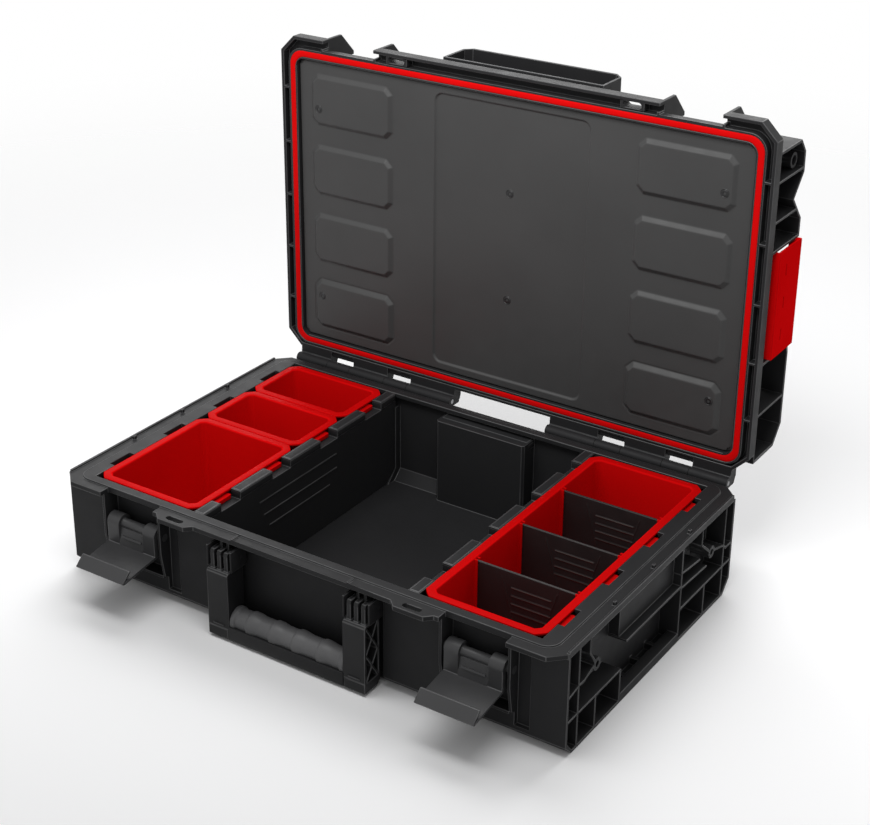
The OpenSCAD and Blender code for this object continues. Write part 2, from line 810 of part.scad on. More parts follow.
roof_ribs = 5;
roof_rib_h = 3;
module lid_shell_closed() {
    difference() {
        union() {
            // Outer rim and the plate behind it
            translate([0, lid_cy, lid_z]) linear_extrude(lid_rim_h) chamfered(case_w, lid_d, lid_cut);
            // Body of the lid, with a slope along its front
            along_x(-body_x, body_x)
                polygon([[body_front, lid_z], [body_front, lid_z + gusset_h],
                    [body_front + gusset_slope, roof_top], [body_back - gusset_slope / 2, roof_top],
                    [body_back, lid_z + gusset_h], [body_back, lid_z]]);
            // Raised frame and ribs on the roof, for the next case on top
            for (i = [0 : roof_ribs - 1]) {
                y = body_front + (body_back - body_front) * (i + 2) / (roof_ribs + 2);
                block([side_in - body_x, y - rib_t, roof_top - over],
                    [body_x - side_in, y + rib_t, roof_top + roof_rib_h]);
            }
            both_sides() lid_side();
            both_sides() gusset(latch_x - recess_w / 2 - gusset_t / 2);
            both_sides() gusset(latch_x + recess_w / 2 + gusset_t / 2);
            front_loop();
            both_sides() {
                lid_knuckle(hinge_inner, base_knuckle_x(0) - base_knuckle_l / 2 - knuckle_gap);
                lid_knuckle(base_knuckle_x(0) + base_knuckle_l / 2 + knuckle_gap,
                    base_knuckle_x(1) - base_knuckle_l / 2 - knuckle_gap);
                lid_knuckle(base_knuckle_x(1) + base_knuckle_l / 2 + knuckle_gap, hinge_outer);
            }
        }
        // Hollow of the body
        along_x(wall - body_x, body_x - wall)
            polygon([[body_front + wall, lid_z + lid_rim_h - wall], [body_front + wall, lid_z + gusset_h],
                [body_front + gusset_slope + wall, roof_top - wall],
                [body_back - gusset_slope / 2 - wall, roof_top - wall],
                [body_back - wall, lid_z + gusset_h], [body_back - wall, lid_z + lid_rim_h - wall]]);
        // Seat of the inner panel
        translate([0, panel_cy, lid_z - over])
            linear_extrude(lid_rim_h - wall + 2 * over)
                rounded(2 * (panel_x + panel_gap), panel_d + 2 * panel_gap, panel_r);
        // Channel behind the outer rim, open below
        translate([0, 0, lid_z - over])
            linear_extrude(lid_rim_h - wall + over)
                difference() {
                    translate([0, lid_cy])
                        chamfered(case_w - 2 * lid_rim_t, lid_d - 2 * lid_rim_t, lid_cut - lid_rim_t / 2);
                    translate([0, seal_cy])
                        rounded(2 * (seal_x + groove_wall), seal_d + 2 * groove_wall, seal_r + groove_wall);
                    channel_ribs();
                    for (s = [-1, 1]) {
                        translate([s * tab_x, lid_front])
                            square([padlock_w + 2 * wall, 2 * strike_in], center = true);
                        // Wall behind a latch recess
                        translate([s * latch_x, strike_y])
                            square([recess_w + 2 * gusset_t, 2 * groove_wall], center = true);
                    }
                }
        // Groove of the seal
        translate([0, seal_cy, lid_z - over])
            linear_extrude(seal_h + over) difference() {
                rounded(2 * seal_x, seal_d, seal_r);
                rounded(2 * (seal_x - seal_w), seal_d - 2 * seal_w, seal_r - seal_w / 2);
            }
        // Latch recesses: the rim is cut away in front of the strike and above it
        for (s = [-1, 1]) {
            block([s * latch_x - recess_w / 2, lid_front - over, lid_z - over],
                [s * latch_x + recess_w / 2, strike_y, lid_z + lid_h]);
            block([s * latch_x - recess_w / 2, lid_front - over, strike_top],
                [s * latch_x + recess_w / 2, strike_y + strike_deep, lid_z + lid_rim_h + over]);
        }
        // Slots of the padlock tabs
        translate([0, 0, lid_z - over])
            linear_extrude(lid_rim_h + 2 * over) both_sides() padlock_slot();
        // Room for the base knuckles at the hinge
        both_sides() for (i = [0, 1])
            block([base_knuckle_x(i) - base_knuckle_l / 2 - knuckle_gap, lid_back - wall / 2, lid_z - over],
                [base_knuckle_x(i) + base_knuckle_l / 2 + knuckle_gap, hinge_y + 2 * knuckle_r,
                    lid_z + lid_rim_h + over]);
        translate([-hinge_outer - over, hinge_y, hinge_z])
            rotate([0, 90, 0]) cylinder(h = 2 * hinge_outer + 2 * over, r = hinge_pin_d / 2 + run_fit);
        both_sides() clip_pin_bore(clip_pin_d / 2 + run_fit);
    }
    both_sides() screw_boss_group();
}

// Small ribs across the channel behind the rim
channel_rib_shares = [0.16, 0.33, 0.5, 0.67, 0.84];
module channel_ribs() {
    for (share = channel_rib_shares)
        translate([0, lid_front + lid_d * share]) square([case_w, rib_t], center = true);
}

// Middles of the panel screws on one side, as (x, y)
function side_screws() =
    [for (s = [-1, 1]) [panel_x - screw_side_inset, panel_cy + s * screw_side_pitch / 2]];
function mid_screws() = [for (s = [-1, 1]) [0, panel_cy + s * screw_mid_pitch / 2]];

// A boss starts just behind the panel
function boss_foot(p) = lid_z + panel_in + panel_t + loose + (p[0] == 0 ? centre_drop : 0);

module screw_boss_group() {
    for (p = concat(side_screws(), mid_screws()))
        difference() {
            translate([p[0], p[1], boss_foot(p)])
                cylinder(h = roof_top - wall / 2 - boss_foot(p), r = screw_boss_d / 2);
            translate([p[0], p[1], boss_foot(p) - over])
                cylinder(h = screw_l + 2 * over, r = screw_shank_d / 2 + run_fit);
        }
}

module lid_shell() {
    color([0.17, 0.17, 0.18]) opened() lid_shell_closed();
}

// Inner panel with raised pads and a recessed middle
module pad(cx, cy) {
    for (i = [0 : pad_steps])
        translate([cx, cy, lid_z + panel_in - pad_rise * (i + 1) / (pad_steps + 1)])
            linear_extrude(pad_rise)
                chamfered(pad_w - i * pad_step, pad_d - i * pad_step, pad_cut - i * pad_step / 3);
}

module lid_inner_panel() {
    color([0.20, 0.20, 0.21])
    opened()
    difference() {
        union() {
            translate([0, panel_cy, lid_z + panel_in])
                linear_extrude(panel_t) rounded(2 * panel_x, panel_d, panel_r);
            both_sides() for (i = [0 : pads - 1])
                pad(panel_x - pad_inset - pad_w / 2, panel_cy + (i - (pads - 1) / 2) * pad_pitch);
            translate([0, panel_cy, lid_z + panel_in + over])
                linear_extrude(centre_drop + panel_t - over)
                    rounded(centre_w + 2 * panel_t, panel_d - pad_inset + 2 * panel_t, centre_r + panel_t);
        }
        translate([0, panel_cy, lid_z + panel_in - over])
            linear_extrude(centre_drop + over) rounded(centre_w, panel_d - pad_inset, centre_r);
        both_sides() for (p = concat(side_screws(), mid_screws())) {
            translate([p[0], p[1], lid_z - over])
                cylinder(h = panel_in + centre_drop + 2 * panel_t, r = screw_shank_d / 2 + run_fit);
            translate([p[0], p[1], screw_seat(p) - over])
                cylinder(h = over + screw_head_t, r = screw_d / 2 + run_fit);
        }
    }
}

screw_head_t = 1.6;
screw_cross_shares = [0.55, 0.14];
// Height of the face that a screw's head lies in
function screw_seat(p) = lid_z + panel_in + (p[0] == 0 ? centre_drop : -pad_rise);

module screw(p) {
    difference() {
        translate([p[0], p[1], screw_seat(p)]) cylinder(h = screw_head_t, r = screw_d / 2);
        translate([p[0], p[1], screw_seat(p) - over]) linear_extrude(over + screw_head_t / 2) {
            for (a = [0, 90])
                rotate(a) square(screw_d * screw_cross_shares, center = true);
        }
    }
    translate([p[0], p[1], screw_seat(p) + screw_head_t / 2]) cylinder(h = screw_l, r = screw_shank_d / 2);
}

module lid_panel_screws() {
    color([0.25, 0.25, 0.26]) opened() {
        for (p = mid_screws()) screw(p);
        both_sides() for (p = side_screws()) screw(p);
    }
}

module lid_seal() {
    color([0.85, 0.08, 0.08])
    opened()
    translate([0, seal_cy, lid_z - seam / 2])
        linear_extrude(seal_h + seam / 2 - run_fit) difference() {
            rounded(2 * (seal_x - run_fit), seal_d - 2 * run_fit, seal_r);
            rounded(2 * (seal_x - seal_w + run_fit), seal_d + 2 * (run_fit - seal_w), seal_r - seal_w / 2);
        }
}

module hinge_pin() {
    translate([hinge_inner, hinge_y, hinge_z])
        rotate([0, 90, 0]) cylinder(h = hinge_outer - hinge_inner, r = hinge_pin_d / 2);
}
module hinge_pin_left() { color([0.45, 0.45, 0.47]) mirror([1, 0, 0]) hinge_pin(); }
module hinge_pin_right() { color([0.45, 0.45, 0.47]) hinge_pin(); }

// Latch lever: two arms on the pin, a sloping plate and a lip that catches the strike
module lever_plate_outline() {
    end = [-lever_reach, -lever_fall];
    root = [-lever_arm_front, -lever_arm_down];
    inner = root + (root - end) * lever_arm_front / lever_reach;
    tip = end + [lip_back, lip_up];
    polygon([inner, root, end, tip, tip + [-lip_t, lip_t / 2], end + [-lip_t, -lever_t / 2],
        end + [0, -lever_t], inner + [0, -lever_t]]);
}

module lever() {
    translate([0, pin_y, pin_z])
        difference() {
            union() {
                along_x(-lever_w / 2, lever_w / 2) lever_plate_outline();
                for (s = [-1, 1]) {
                    x0 = s * (lever_w - lever_arm_w) / 2 - lever_arm_w / 2;
                    translate([x0, 0, 0]) rotate([0, 90, 0]) cylinder(h = lever_arm_w, r = lever_knuckle_r);
                    along_x(x0, x0 + lever_arm_w)
                        polygon([[-lever_arm_front, 0], [-lever_arm_front, -lever_arm_down],
                            [lever_arm_back - lever_knuckle_r / 2, -lever_arm_down],
                            [lever_arm_back, lever_knuckle_r / 2 - lever_arm_down], [lever_arm_back, 0]]);
                }
                // Stiffening bar across the roots of the arms
                block([-lever_w / 2, -lever_arm_front / 2, -lever_arm_down],
                    [lever_w / 2, lever_arm_back / 2, lever_arm_front / 2 + lever_t - lever_arm_down]);
            }
            translate([-lever_w / 2 - over, 0, 0])
                rotate([0, 90, 0]) cylinder(h = lever_w + 2 * over, r = latch_pin_d / 2 + run_fit);
        }
}
module latch_lever_left() { color([0.24, 0.24, 0.25]) translate([-latch_x, 0, 0]) lever(); }
module latch_lever_right() { color([0.24, 0.24, 0.25]) translate([latch_x, 0, 0]) lever(); }

module latch_pin(x) {
    translate([x - pocket_w / 2 - cheek_t, pin_y, pin_z])
        rotate([0, 90, 0]) cylinder(h = pocket_w + 2 * cheek_t, r = latch_pin_d / 2);
}
module latch_pin_left() { color([0.22, 0.22, 0.23]) latch_pin(-latch_x); }
module latch_pin_right() { color([0.22, 0.22, 0.23]) latch_pin(latch_x); }

// Carry handle, hanging
module arm_truss(x0, depth) {
    // Crossed ribs in the outer side of an arm
    arm_back = arm_d - handle_front;
    y0 = -handle_front + wall;
    y1 = arm_back - wall;
    z0 = handle_foot + beam_h;
    z1 = arm_top - wall;
    along_x(x0, x0 + depth)
        difference() {
            polygon([[y0, z0], [y1, z0], [y1, z1], [y0, z1]]);
            for (i = [0, 1]) {
                a = z0 + (z1 - z0) * i / 2;
                b = z0 + (z1 - z0) * (i + 1) / 2;
                strip([y0, a], [y1, b], rib_t);
                strip([y1, a], [y0, b], rib_t);
            }
        }
}

// A prong, drawn as (y, z): straight in front, then an arc round the pin
module prong_outline(y_pin, y_foot) {
    intersection() {
        union() {
            translate([y_pin, handle_pin_z]) circle(prong_arc_r);
            translate([y_pin - prong_out, arm_top - over])
                square([prong_out, handle_pin_z - arm_top]);
        }
        translate([y_pin - prong_out, arm_top - over])
            square([prong_out, handle_pin_z + prong_r - arm_top + over]);
    }
    polygon([[y_pin - over, handle_pin_z], [y_pin - over, arm_top - over], [y_foot, arm_top - over],
        [y_pin + prong_r, handle_pin_z]]);
}

module handle_half() {
    x1 = handle_w / 2;
    x0 = x1 - arm_w;
    arm_mid = (x0 + x1) / 2;
    y_pin = handle_pin_y - half_d;
    y0 = -handle_front;
    y1 = arm_d - handle_front;
    difference() {
        union() {
            block([x0, y0, handle_foot], [x1, y1, arm_top]);
            for (i = [-1 : 1]) {
                x = arm_mid + i * lug_pitch;
                translate([x - prong_t / 2, y_pin, handle_pin_z])
                    rotate([0, 90, 0]) cylinder(h = prong_t, r = prong_r);
                along_x(x - prong_t / 2, x + prong_t / 2) prong_outline(y_pin, y1 - wall);
            }
        }
        translate([x1 - arm_w / 3, 0, 0]) arm_truss(0, arm_w);
        translate([x0 - over, y_pin, handle_pin_z])
            rotate([0, 90, 0]) cylinder(h = arm_w + 2 * over, r = handle_pin_d / 2 + run_fit);
        // Bottom edges at the back and top edges at the front are cut off
        along_x(x0 - over, x1 + over) {
            polygon([[y1 - beam_h / 2, handle_foot - over], [y1 + over, handle_foot - over],
                [y1 + over, handle_foot + beam_h / 2]]);
            polygon([[y0 - over, arm_top - arm_top_cut - over], [y0 + arm_top_cut + over, arm_top + over],
                [y0 - over, arm_top + over]]);
        }
    }
    // Step near the foot of each arm
    block([x0 + wall / 2, y0 - rib_rise, handle_foot], [x1, y0 + over, handle_foot + beam_h]);
}

module handle_frame() {
    color([0.18, 0.18, 0.19]) {
        both_sides() handle_half();
        difference() {
            block([arm_w - handle_w / 2 - over, -handle_front, handle_foot],
                [handle_w / 2 - arm_w + over, arm_d - handle_front, handle_foot + beam_h]);
            // Seat of the grip
            translate([arm_w - handle_w / 2 - 2 * over, grip_y, grip_z])
                rotate([0, 90, 0]) cylinder(h = handle_w, r = grip_d / 2 + collar_rise + run_fit);
            along_x(-handle_w / 2, handle_w / 2)
                polygon([[arm_d - handle_front - beam_h / 2, handle_foot - over],
                    [arm_d - handle_front + over, handle_foot - over],
                    [arm_d - handle_front + over, handle_foot + beam_h / 2]]);
        }
    }
}

grip_y = grip_d / 2 + grip_in - handle_front;
grip_z = handle_foot + beam_h + grip_d / 2 - grip_down;
grip_l = handle_w - 2 * arm_w - 2 * seat;
// A collar rises at once on its left and fades out on its right
function collar_line(share) = [[grip_d / 2, grip_l * share - collar_rise],
    [grip_d / 2 + collar_rise, grip_l * share], [grip_d / 2 + collar_rise, grip_l * share + collar_l / 2],
    [grip_d / 2, grip_l * share + collar_l + collar_fade]];
module handle_grip() {
    color([0.26, 0.26, 0.27])
    translate([-grip_l / 2, grip_y, grip_z])
        rotate([0, 90, 0])
            rotate_extrude()
                polygon(concat([[0, 0], [grip_d / 2 + collar_rise, 0], [grip_d / 2 + collar_rise, collar_l],
                    [grip_d / 2, collar_l + collar_rise]],
                    [for (share = collar_shares, p = collar_line(share)) p],
                    [[grip_d / 2 + collar_rise, grip_l - collar_l], [grip_d / 2 + collar_rise, grip_l],
                    [0, grip_l]]));
}

module handle_pin() {
    translate([handle_w / 2 - arm_w - seat, handle_pin_y - half_d, handle_pin_z])
        rotate([0, 90, 0]) cylinder(h = arm_w + 2 * seat, r = handle_pin_d / 2);
}
module handle_pin_left() { color([0.45, 0.45, 0.47]) mirror([1, 0, 0]) handle_pin(); }
module handle_pin_right() { color([0.45, 0.45, 0.47]) handle_pin(); }

// Side clip, hanging beside the lid between its towers
module clip_outline() {
    // Drawn as (x, z) about the pin
    out = clip_out + clip_axis_in;
    foot = lid_z + clip_foot - clip_axis_z;
    polygon([[out - clip_t, 0], [out, 0], [out, foot], [out - clip_t - clip_hook, foot],
        [out - clip_t - clip_hook, foot + clip_t], [out - clip_t - clip_hook + clip_t, foot + 2 * clip_t],
        [out - clip_t - clip_hook + clip_t, foot + clip_t], [out - clip_t, foot + clip_t]]);
}

module side_clip() {
    difference() {
        translate([clip_axis_x, clip_mid + clip_l / 2, clip_axis_z])
            rotate([90, 0, 0]) {
                difference() {
                    union() {
                        linear_extrude(clip_l) clip_outline();
                        cylinder(h = clip_l, r = clip_knuckle_r);
                        translate([0, -clip_knuckle_r, 0])
                            cube([clip_out + clip_axis_in, 2 * clip_knuckle_r, clip_l]);
                    }
                    translate([0, 0, -over]) cylinder(h = clip_l + 2 * over, r = clip_pin_d / 2 + run_fit);
                }
            }
        // Three slits in the outer face
        for (i = [-1 : 1]) {
            y = clip_mid + i * slit_pitch;
            block([half_w + clip_out - clip_t / 4, y - slit_l / 2, clip_axis_z - slit_down - slit_h],
                [half_w + clip_out + over, y + slit_l / 2, clip_axis_z - slit_down]);
        }
    }
}
module side_clip_left() { color([0.85, 0.06, 0.06]) opened() mirror([1, 0, 0]) side_clip(); }
module side_clip_right() { color([0.85, 0.06, 0.06]) opened() side_clip(); }

module clip_pin() {
    translate([clip_axis_x, clip_mid + clip_l / 2 + wall, clip_axis_z])
        rotate([90, 0, 0]) cylinder(h = clip_l + 2 * wall, r = clip_pin_d / 2);
}
module clip_pin_left() { color([0.45, 0.45, 0.47]) opened() mirror([1, 0, 0]) clip_pin(); }
module clip_pin_right() { color([0.45, 0.45, 0.47]) opened() clip_pin(); }

// Partition beside the bins: a skin towards the middle, a notched top and ribs behind
part_lines_y_shares = [[0.26, 0.66], [0.28, 0.66], [0.305, 0.62]];
part_lines_z_shares = [0.75, 0.60, 0.46];
line_rise = 0.6;
line_t = 1.4;
part_ribs = 9;
module partition() {
    part_l = part_back - part_front;
    difference() {
        union() {
            block([part_x0, part_front, bin_foot], [part_x0 + part_skin, part_back, part_top]);
            block([part_x0, part_front, part_top - notch_drop - wall], [part_x1, part_back, part_top]);
            for (i = [0 : part_ribs - 1]) {
                y = part_front + (part_l - rib_t) * i / (part_ribs - 1);
                block([part_x0, y, bin_foot], [part_x1 - loose, y + rib_t, part_top - notch_drop]);
            }
        }
        for (i = [0 : cells - 1])
            block([part_x0 - over, cell_mid(i) - notch_w / 2, part_top - notch_drop],
                [part_x1 + over, cell_mid(i) + notch_w / 2, part_top + over]);
        // The back foot and the front foot follow the chamfers of the base
        along_x(part_x0 - over, part_x1 + over) {
            polygon([[part_front - over, bin_foot - over], [part_front + front_cut + over, bin_foot - over],
                [part_front - over, bin_foot + front_cut + over]]);
            polygon([[part_back + over, bin_foot - over], [part_back - back_cut - over, bin_foot - over],
                [part_back + over, bin_foot + back_cut + over]]);
        }
    }
    for (i = [0 : len(part_lines_z_shares) - 1]) {
        ends = [for (share = part_lines_y_shares[i]) part_front + part_l * share];
        z = part_top * part_lines_z_shares[i];
        block([part_x0 - line_rise, ends[0], z], [part_x0 + over, ends[1], z + line_t]);
    }
}
module partition_left() { color([0.15, 0.15, 0.16]) mirror([1, 0, 0]) partition(); }
module partition_right() { color([0.15, 0.15, 0.16]) partition(); }

// A bin over n cells from cell i, on the right side
module bin(i, n) {
    y0 = cells_front + cell * i + bin_gap / 2;
    y1 = cells_front + cell * (i + n) - bin_gap / 2;
    cy = (y0 + y1) / 2;
    w = bin_x1 - bin_x0;
    d = y1 - y0;
    body_w = w - 2 * bin_rim;
    body_d = d - 2 * bin_rim;
    difference() {
        union() {
            translate([bin_cx, cy, bin_top - bin_rim_t]) linear_extrude(bin_rim_t) chamfered(w, d, bin_cut);
            translate([bin_cx, cy, bin_foot])
                linear_extrude(bin_top - bin_foot - over) chamfered(body_w, body_d, bin_cut - bin_rim / 2);
            // Tabs on both sides, just below the rim
            for (k = [i : i + n - 1]) {
                block([bin_x0, cell_mid(k) - tab_w / 2, bin_top - tab_drop],
                    [bin_x1, cell_mid(k) + tab_w / 2, bin_top - bin_rim_t / 2]);
                block([bin_x0 - tab_out, cell_mid(k) - tab_w / 2, bin_top - tab_drop],
                    [bin_x1 + tab_out, cell_mid(k) + tab_w / 2, bin_top - bin_rim_t - tab_gap]);
            }
        }
        translate([bin_cx, cy, bin_foot + bin_wall])
            linear_extrude(bin_top)
                chamfered(body_w - 2 * bin_wall, body_d - 2 * bin_wall, bin_cut - (bin_rim + bin_wall) / 2);
    }
}
module bin_large() { color([0.80, 0.06, 0.06]) mirror([1, 0, 0]) bin(0, 2); }
module bin_middle() { color([0.80, 0.06, 0.06]) mirror([1, 0, 0]) bin(2, 1); }
module bin_rear() { color([0.80, 0.06, 0.06]) mirror([1, 0, 0]) bin(3, 1); }

rail_d = 3.4;
rail_t = 1.8;
divider_down = 3;
divider_top = bin_top - divider_down;
divider_x0 = bin_x0 + bin_rim + bin_wall;
divider_x1 = bin_x1 - bin_rim - bin_wall;
function divider_y(i) = cells_front + cell * (i + 1);
module bin_long() {
    color([0.80, 0.06, 0.06]) {
        bin(0, cells);
        // Rails that hold the dividers
        for (i = [0 : cells - 2], s = [-1, 1], x = [divider_x0 - over, divider_x1 - rail_d]) {
            y = divider_y(i) + s * (divider_t / 2 + seat + rail_t / 2);
            block([x, y - rail_t / 2, bin_foot + bin_wall - over],
                [x + rail_d + over, y + rail_t / 2, divider_top - wall]);
        }
    }
}

// Divider with a raised outline and four lines on its front
divider_lines = 4;
divider_frame_shares = [[0.26, 0.93], [0.40, 0.42], [0.66, 0.42], [0.80, 0.93]];
divider_line_shares = [0.36, 0.74];
divider_line_foot_share = 0.58;
divider_line_pitch_share = 0.085;
module divider(i) {
    w = divider_x1 - divider_x0 - 2 * seat;
    foot = bin_foot + bin_wall + seat;
    h = divider_top - foot;
    y = divider_y(i);
    x0 = divider_x0 + seat;
    block([x0, y - divider_t / 2, foot], [x0 + w, y + divider_t / 2, divider_top]);
    translate([0, y, 0]) rotate([90, 0, 0]) linear_extrude(divider_t / 2 + line_rise) {
        for (k = [0 : divider_lines - 1])
            translate([x0 + w * divider_line_shares[0],
                foot + h * (divider_line_foot_share + k * divider_line_pitch_share)])
                square([w * (divider_line_shares[1] - divider_line_shares[0]), line_t]);
        chain([for (p = divider_frame_shares) [x0 + w * p[0], foot + h * p[1]]], line_t / 2);
    }
}
module divider_front() { color([0.22, 0.17, 0.17]) divider(0); }
module divider_middle() { color([0.22, 0.17, 0.17]) divider(1); }
module divider_rear() { color([0.22, 0.17, 0.17]) divider(2); }

base_shell();
lid_shell();
lid_inner_panel();
lid_seal();
lid_panel_screws();
hinge_pin_left();
hinge_pin_right();
latch_lever_left();
latch_lever_right();
latch_pin_left();
latch_pin_right();
handle_frame();
handle_grip();
handle_pin_left();
handle_pin_right();
side_clip_left();
side_clip_right();
clip_pin_left();
clip_pin_right();
partition_left();
partition_right();
bin_large();
bin_middle();
bin_rear();
bin_long();
divider_front();
divider_middle();
divider_rear();
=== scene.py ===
# %% [markdown]
# # A hard tool case, lid open
# The construction of this case comes packed as a fixed frame: every plastic piece, pin and joint
# axis already has its real size and place, in metres. This lesson dresses that frame.

# %% Load the frame
import json
import math

import bmesh
import bpy
import numpy as np
from mathutils import Matrix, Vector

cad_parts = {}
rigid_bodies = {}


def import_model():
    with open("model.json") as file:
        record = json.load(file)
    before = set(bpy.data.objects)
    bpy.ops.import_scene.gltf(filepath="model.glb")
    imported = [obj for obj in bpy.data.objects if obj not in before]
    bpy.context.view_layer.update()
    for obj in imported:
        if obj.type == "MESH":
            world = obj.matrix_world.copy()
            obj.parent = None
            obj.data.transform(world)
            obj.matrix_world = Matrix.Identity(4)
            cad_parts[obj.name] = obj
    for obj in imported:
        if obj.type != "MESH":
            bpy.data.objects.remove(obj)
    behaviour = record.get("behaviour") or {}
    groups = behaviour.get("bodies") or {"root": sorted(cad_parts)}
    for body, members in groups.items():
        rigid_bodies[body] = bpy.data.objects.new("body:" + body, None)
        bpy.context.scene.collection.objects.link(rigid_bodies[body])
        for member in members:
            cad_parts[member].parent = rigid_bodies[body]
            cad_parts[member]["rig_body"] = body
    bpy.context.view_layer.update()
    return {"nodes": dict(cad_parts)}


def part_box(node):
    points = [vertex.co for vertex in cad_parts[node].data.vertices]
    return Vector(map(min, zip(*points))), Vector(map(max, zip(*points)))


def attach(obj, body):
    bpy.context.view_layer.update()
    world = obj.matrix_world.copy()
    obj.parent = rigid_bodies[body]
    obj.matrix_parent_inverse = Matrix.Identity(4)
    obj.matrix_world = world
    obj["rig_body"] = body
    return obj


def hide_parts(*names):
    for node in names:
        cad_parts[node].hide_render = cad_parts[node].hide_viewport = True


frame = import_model()
nodes = frame["nodes"]

# %% [markdown]
# # Millimetres, and the boxes of the nodes
# Moulded parts are drawn in millimetres, so the shapes below are too. They turn into metres
# once, when a mesh is written. `span` gives a node's lowest and highest corner as two arrays.

# %% Units and boxes
MM = 0.001


def span(node):
    """The lowest and highest corner of a node, in millimetres."""
    low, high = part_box(node)
    return np.array(low) / MM, np.array(high) / MM


# The axis that the lid turns about, where its y and z cross
hinge_y, hinge_z = 189.0, 106.0
print("bins stand on z", round(span("bin_large")[0][2], 2), "and end at z", round(span("bin_large")[1][2], 2))

# %% [markdown]
# # The camera
# The photograph looks down on the open case from its right front corner. The place, turn and
# lens were found by fitting the corners of the rim, the lid and the bins, whose sizes are known.
# A rotation matrix whose columns are right, up and back says the same as azimuth, elevation and roll.

# %% Camera
camera_at = (0.8722, -1.2625, 0.9498)
camera_azimuth, camera_elevation, camera_roll = (math.radians(a) for a in (32.645, 24.070, 0.767))
camera_lens = 72.57
camera_shift = (-0.02289, -0.08266)


def camera_turn(azimuth, elevation, roll):
    """Right, up and back of a camera that looks down by elevation, as the columns of a matrix."""
    level = math.cos(elevation)
    back = np.array([math.sin(azimuth) * level, -math.cos(azimuth) * level, math.sin(elevation)])
    right = np.cross([0, 0, 1], back)
    right /= np.linalg.norm(right)
    up = np.cross(back, right)
    rolled_right = math.cos(roll) * right + math.sin(roll) * up
    rolled_up = -math.sin(roll) * right + math.cos(roll) * up
    return Matrix(np.stack([rolled_right, rolled_up, back], 1).tolist())


camera_data = bpy.data.cameras.new("camera")
camera_data.lens = camera_lens
camera_data.shift_x, camera_data.shift_y = camera_shift
camera = bpy.data.objects.new("camera", camera_data)
turn = camera_turn(camera_azimuth, camera_elevation, camera_roll)
camera.matrix_world = Matrix.Translation(camera_at) @ turn.to_4x4()
bpy.context.scene.collection.objects.link(camera)
bpy.context.scene.camera = camera
print("camera looks down by", round(math.degrees(camera_elevation), 1), "degrees")

# %% [markdown]
# # Moulded plastic
# Nearly everything here is injection moulded. Such plastic has a fine spark-eroded grain, slow
# changes of gloss where it flowed and cooled, and a duller bloom where hands rub it. Two noises
# give that: a coarse one mixes two near shades and shifts the roughness, and a fine one, whose
# size is the grain's, lifts the surface a few hundredths of a millimetre. Both read object
# coordinates, so the grain has the same size on every piece and nothing has to be unwrapped.

# %% Colours and noises
def srgb(*levels):
    """Linear colour of three levels as a screen shows them, from 0 to 255."""
    c = np.array(levels) / 255
    return (*np.where(c <= 0.04045, c / 12.92, ((c + 0.055) / 1.055) ** 2.4), 1.0)


def noise(tree, coords, scale, detail=2.0):
    """A noise over object coordinates; scale is in cells per metre."""
    n = tree.nodes.new("ShaderNodeTexNoise")
    n.inputs["Scale"].default_value = scale
    n.inputs["Detail"].default_value = detail
    tree.links.new(coords.outputs["Object"], n.inputs["Vector"])
    return n.outputs["Fac"]


def ranged(tree, value, low, high):
    """The value, stretched from 0.3..0.7, where most noise lies, to low..high."""
    m = tree.nodes.new("ShaderNodeMapRange")
    for socket, number in zip(("From Min", "From Max", "To Min", "To Max"), (0.3, 0.7, low, high)):
        m.inputs[socket].default_value = number
    tree.links.new(value, m.inputs["Value"])
    return m.outputs["Result"]


print("middle grey, linear:", round(float(srgb(128)[0]), 3))

# %% [markdown]
# # One recipe for all plastics
# Every finish of the case is the same recipe with other numbers: two near shades, how shiny it is,
# how coarse its clouds and how deep its grain. A function with those arguments keeps them
# comparable, and a finish can then be tuned against the photograph by one line.

# %% A material for moulded plastic
GRAIN = 1400.0  # Cells per metre of a fine spark-eroded grain


def moulded(name, dark, light, rough, grain=GRAIN, depth=0.00004, specular=0.4, mottle=9.0):
    """Plastic that wanders between two shades, with a roughness range and a grain of that depth."""
    material = bpy.data.materials.new(name)
    material.use_nodes = True
    tree = material.node_tree
    shader = tree.nodes["Principled BSDF"]
    shader.inputs["Specular IOR Level"].default_value = specular
    coords = tree.nodes.new("ShaderNodeTexCoord")
    slow = noise(tree, coords, mottle, 3.0)
    mix = tree.nodes.new("ShaderNodeMix")
    mix.data_type = "RGBA"
    mix.inputs[6].default_value, mix.inputs[7].default_value = dark, light
    tree.links.new(ranged(tree, slow, 0, 1), mix.inputs[0])
    tree.links.new(mix.outputs[2], shader.inputs["Base Color"])
    tree.links.new(ranged(tree, noise(tree, coords, 60.0, 4.0), *rough), shader.inputs["Roughness"])
    bump = tree.nodes.new("ShaderNodeBump")
    bump.inputs["Strength"].default_value = 1.0
    bump.inputs["Distance"].default_value = depth
    tree.links.new(noise(tree, coords, grain, 2.0), bump.inputs["Height"])
    tree.links.new(bump.outputs["Normal"], shader.inputs["Normal"])
    return material


print("size of the grain in millimetres:", round(1 / GRAIN / MM, 2))
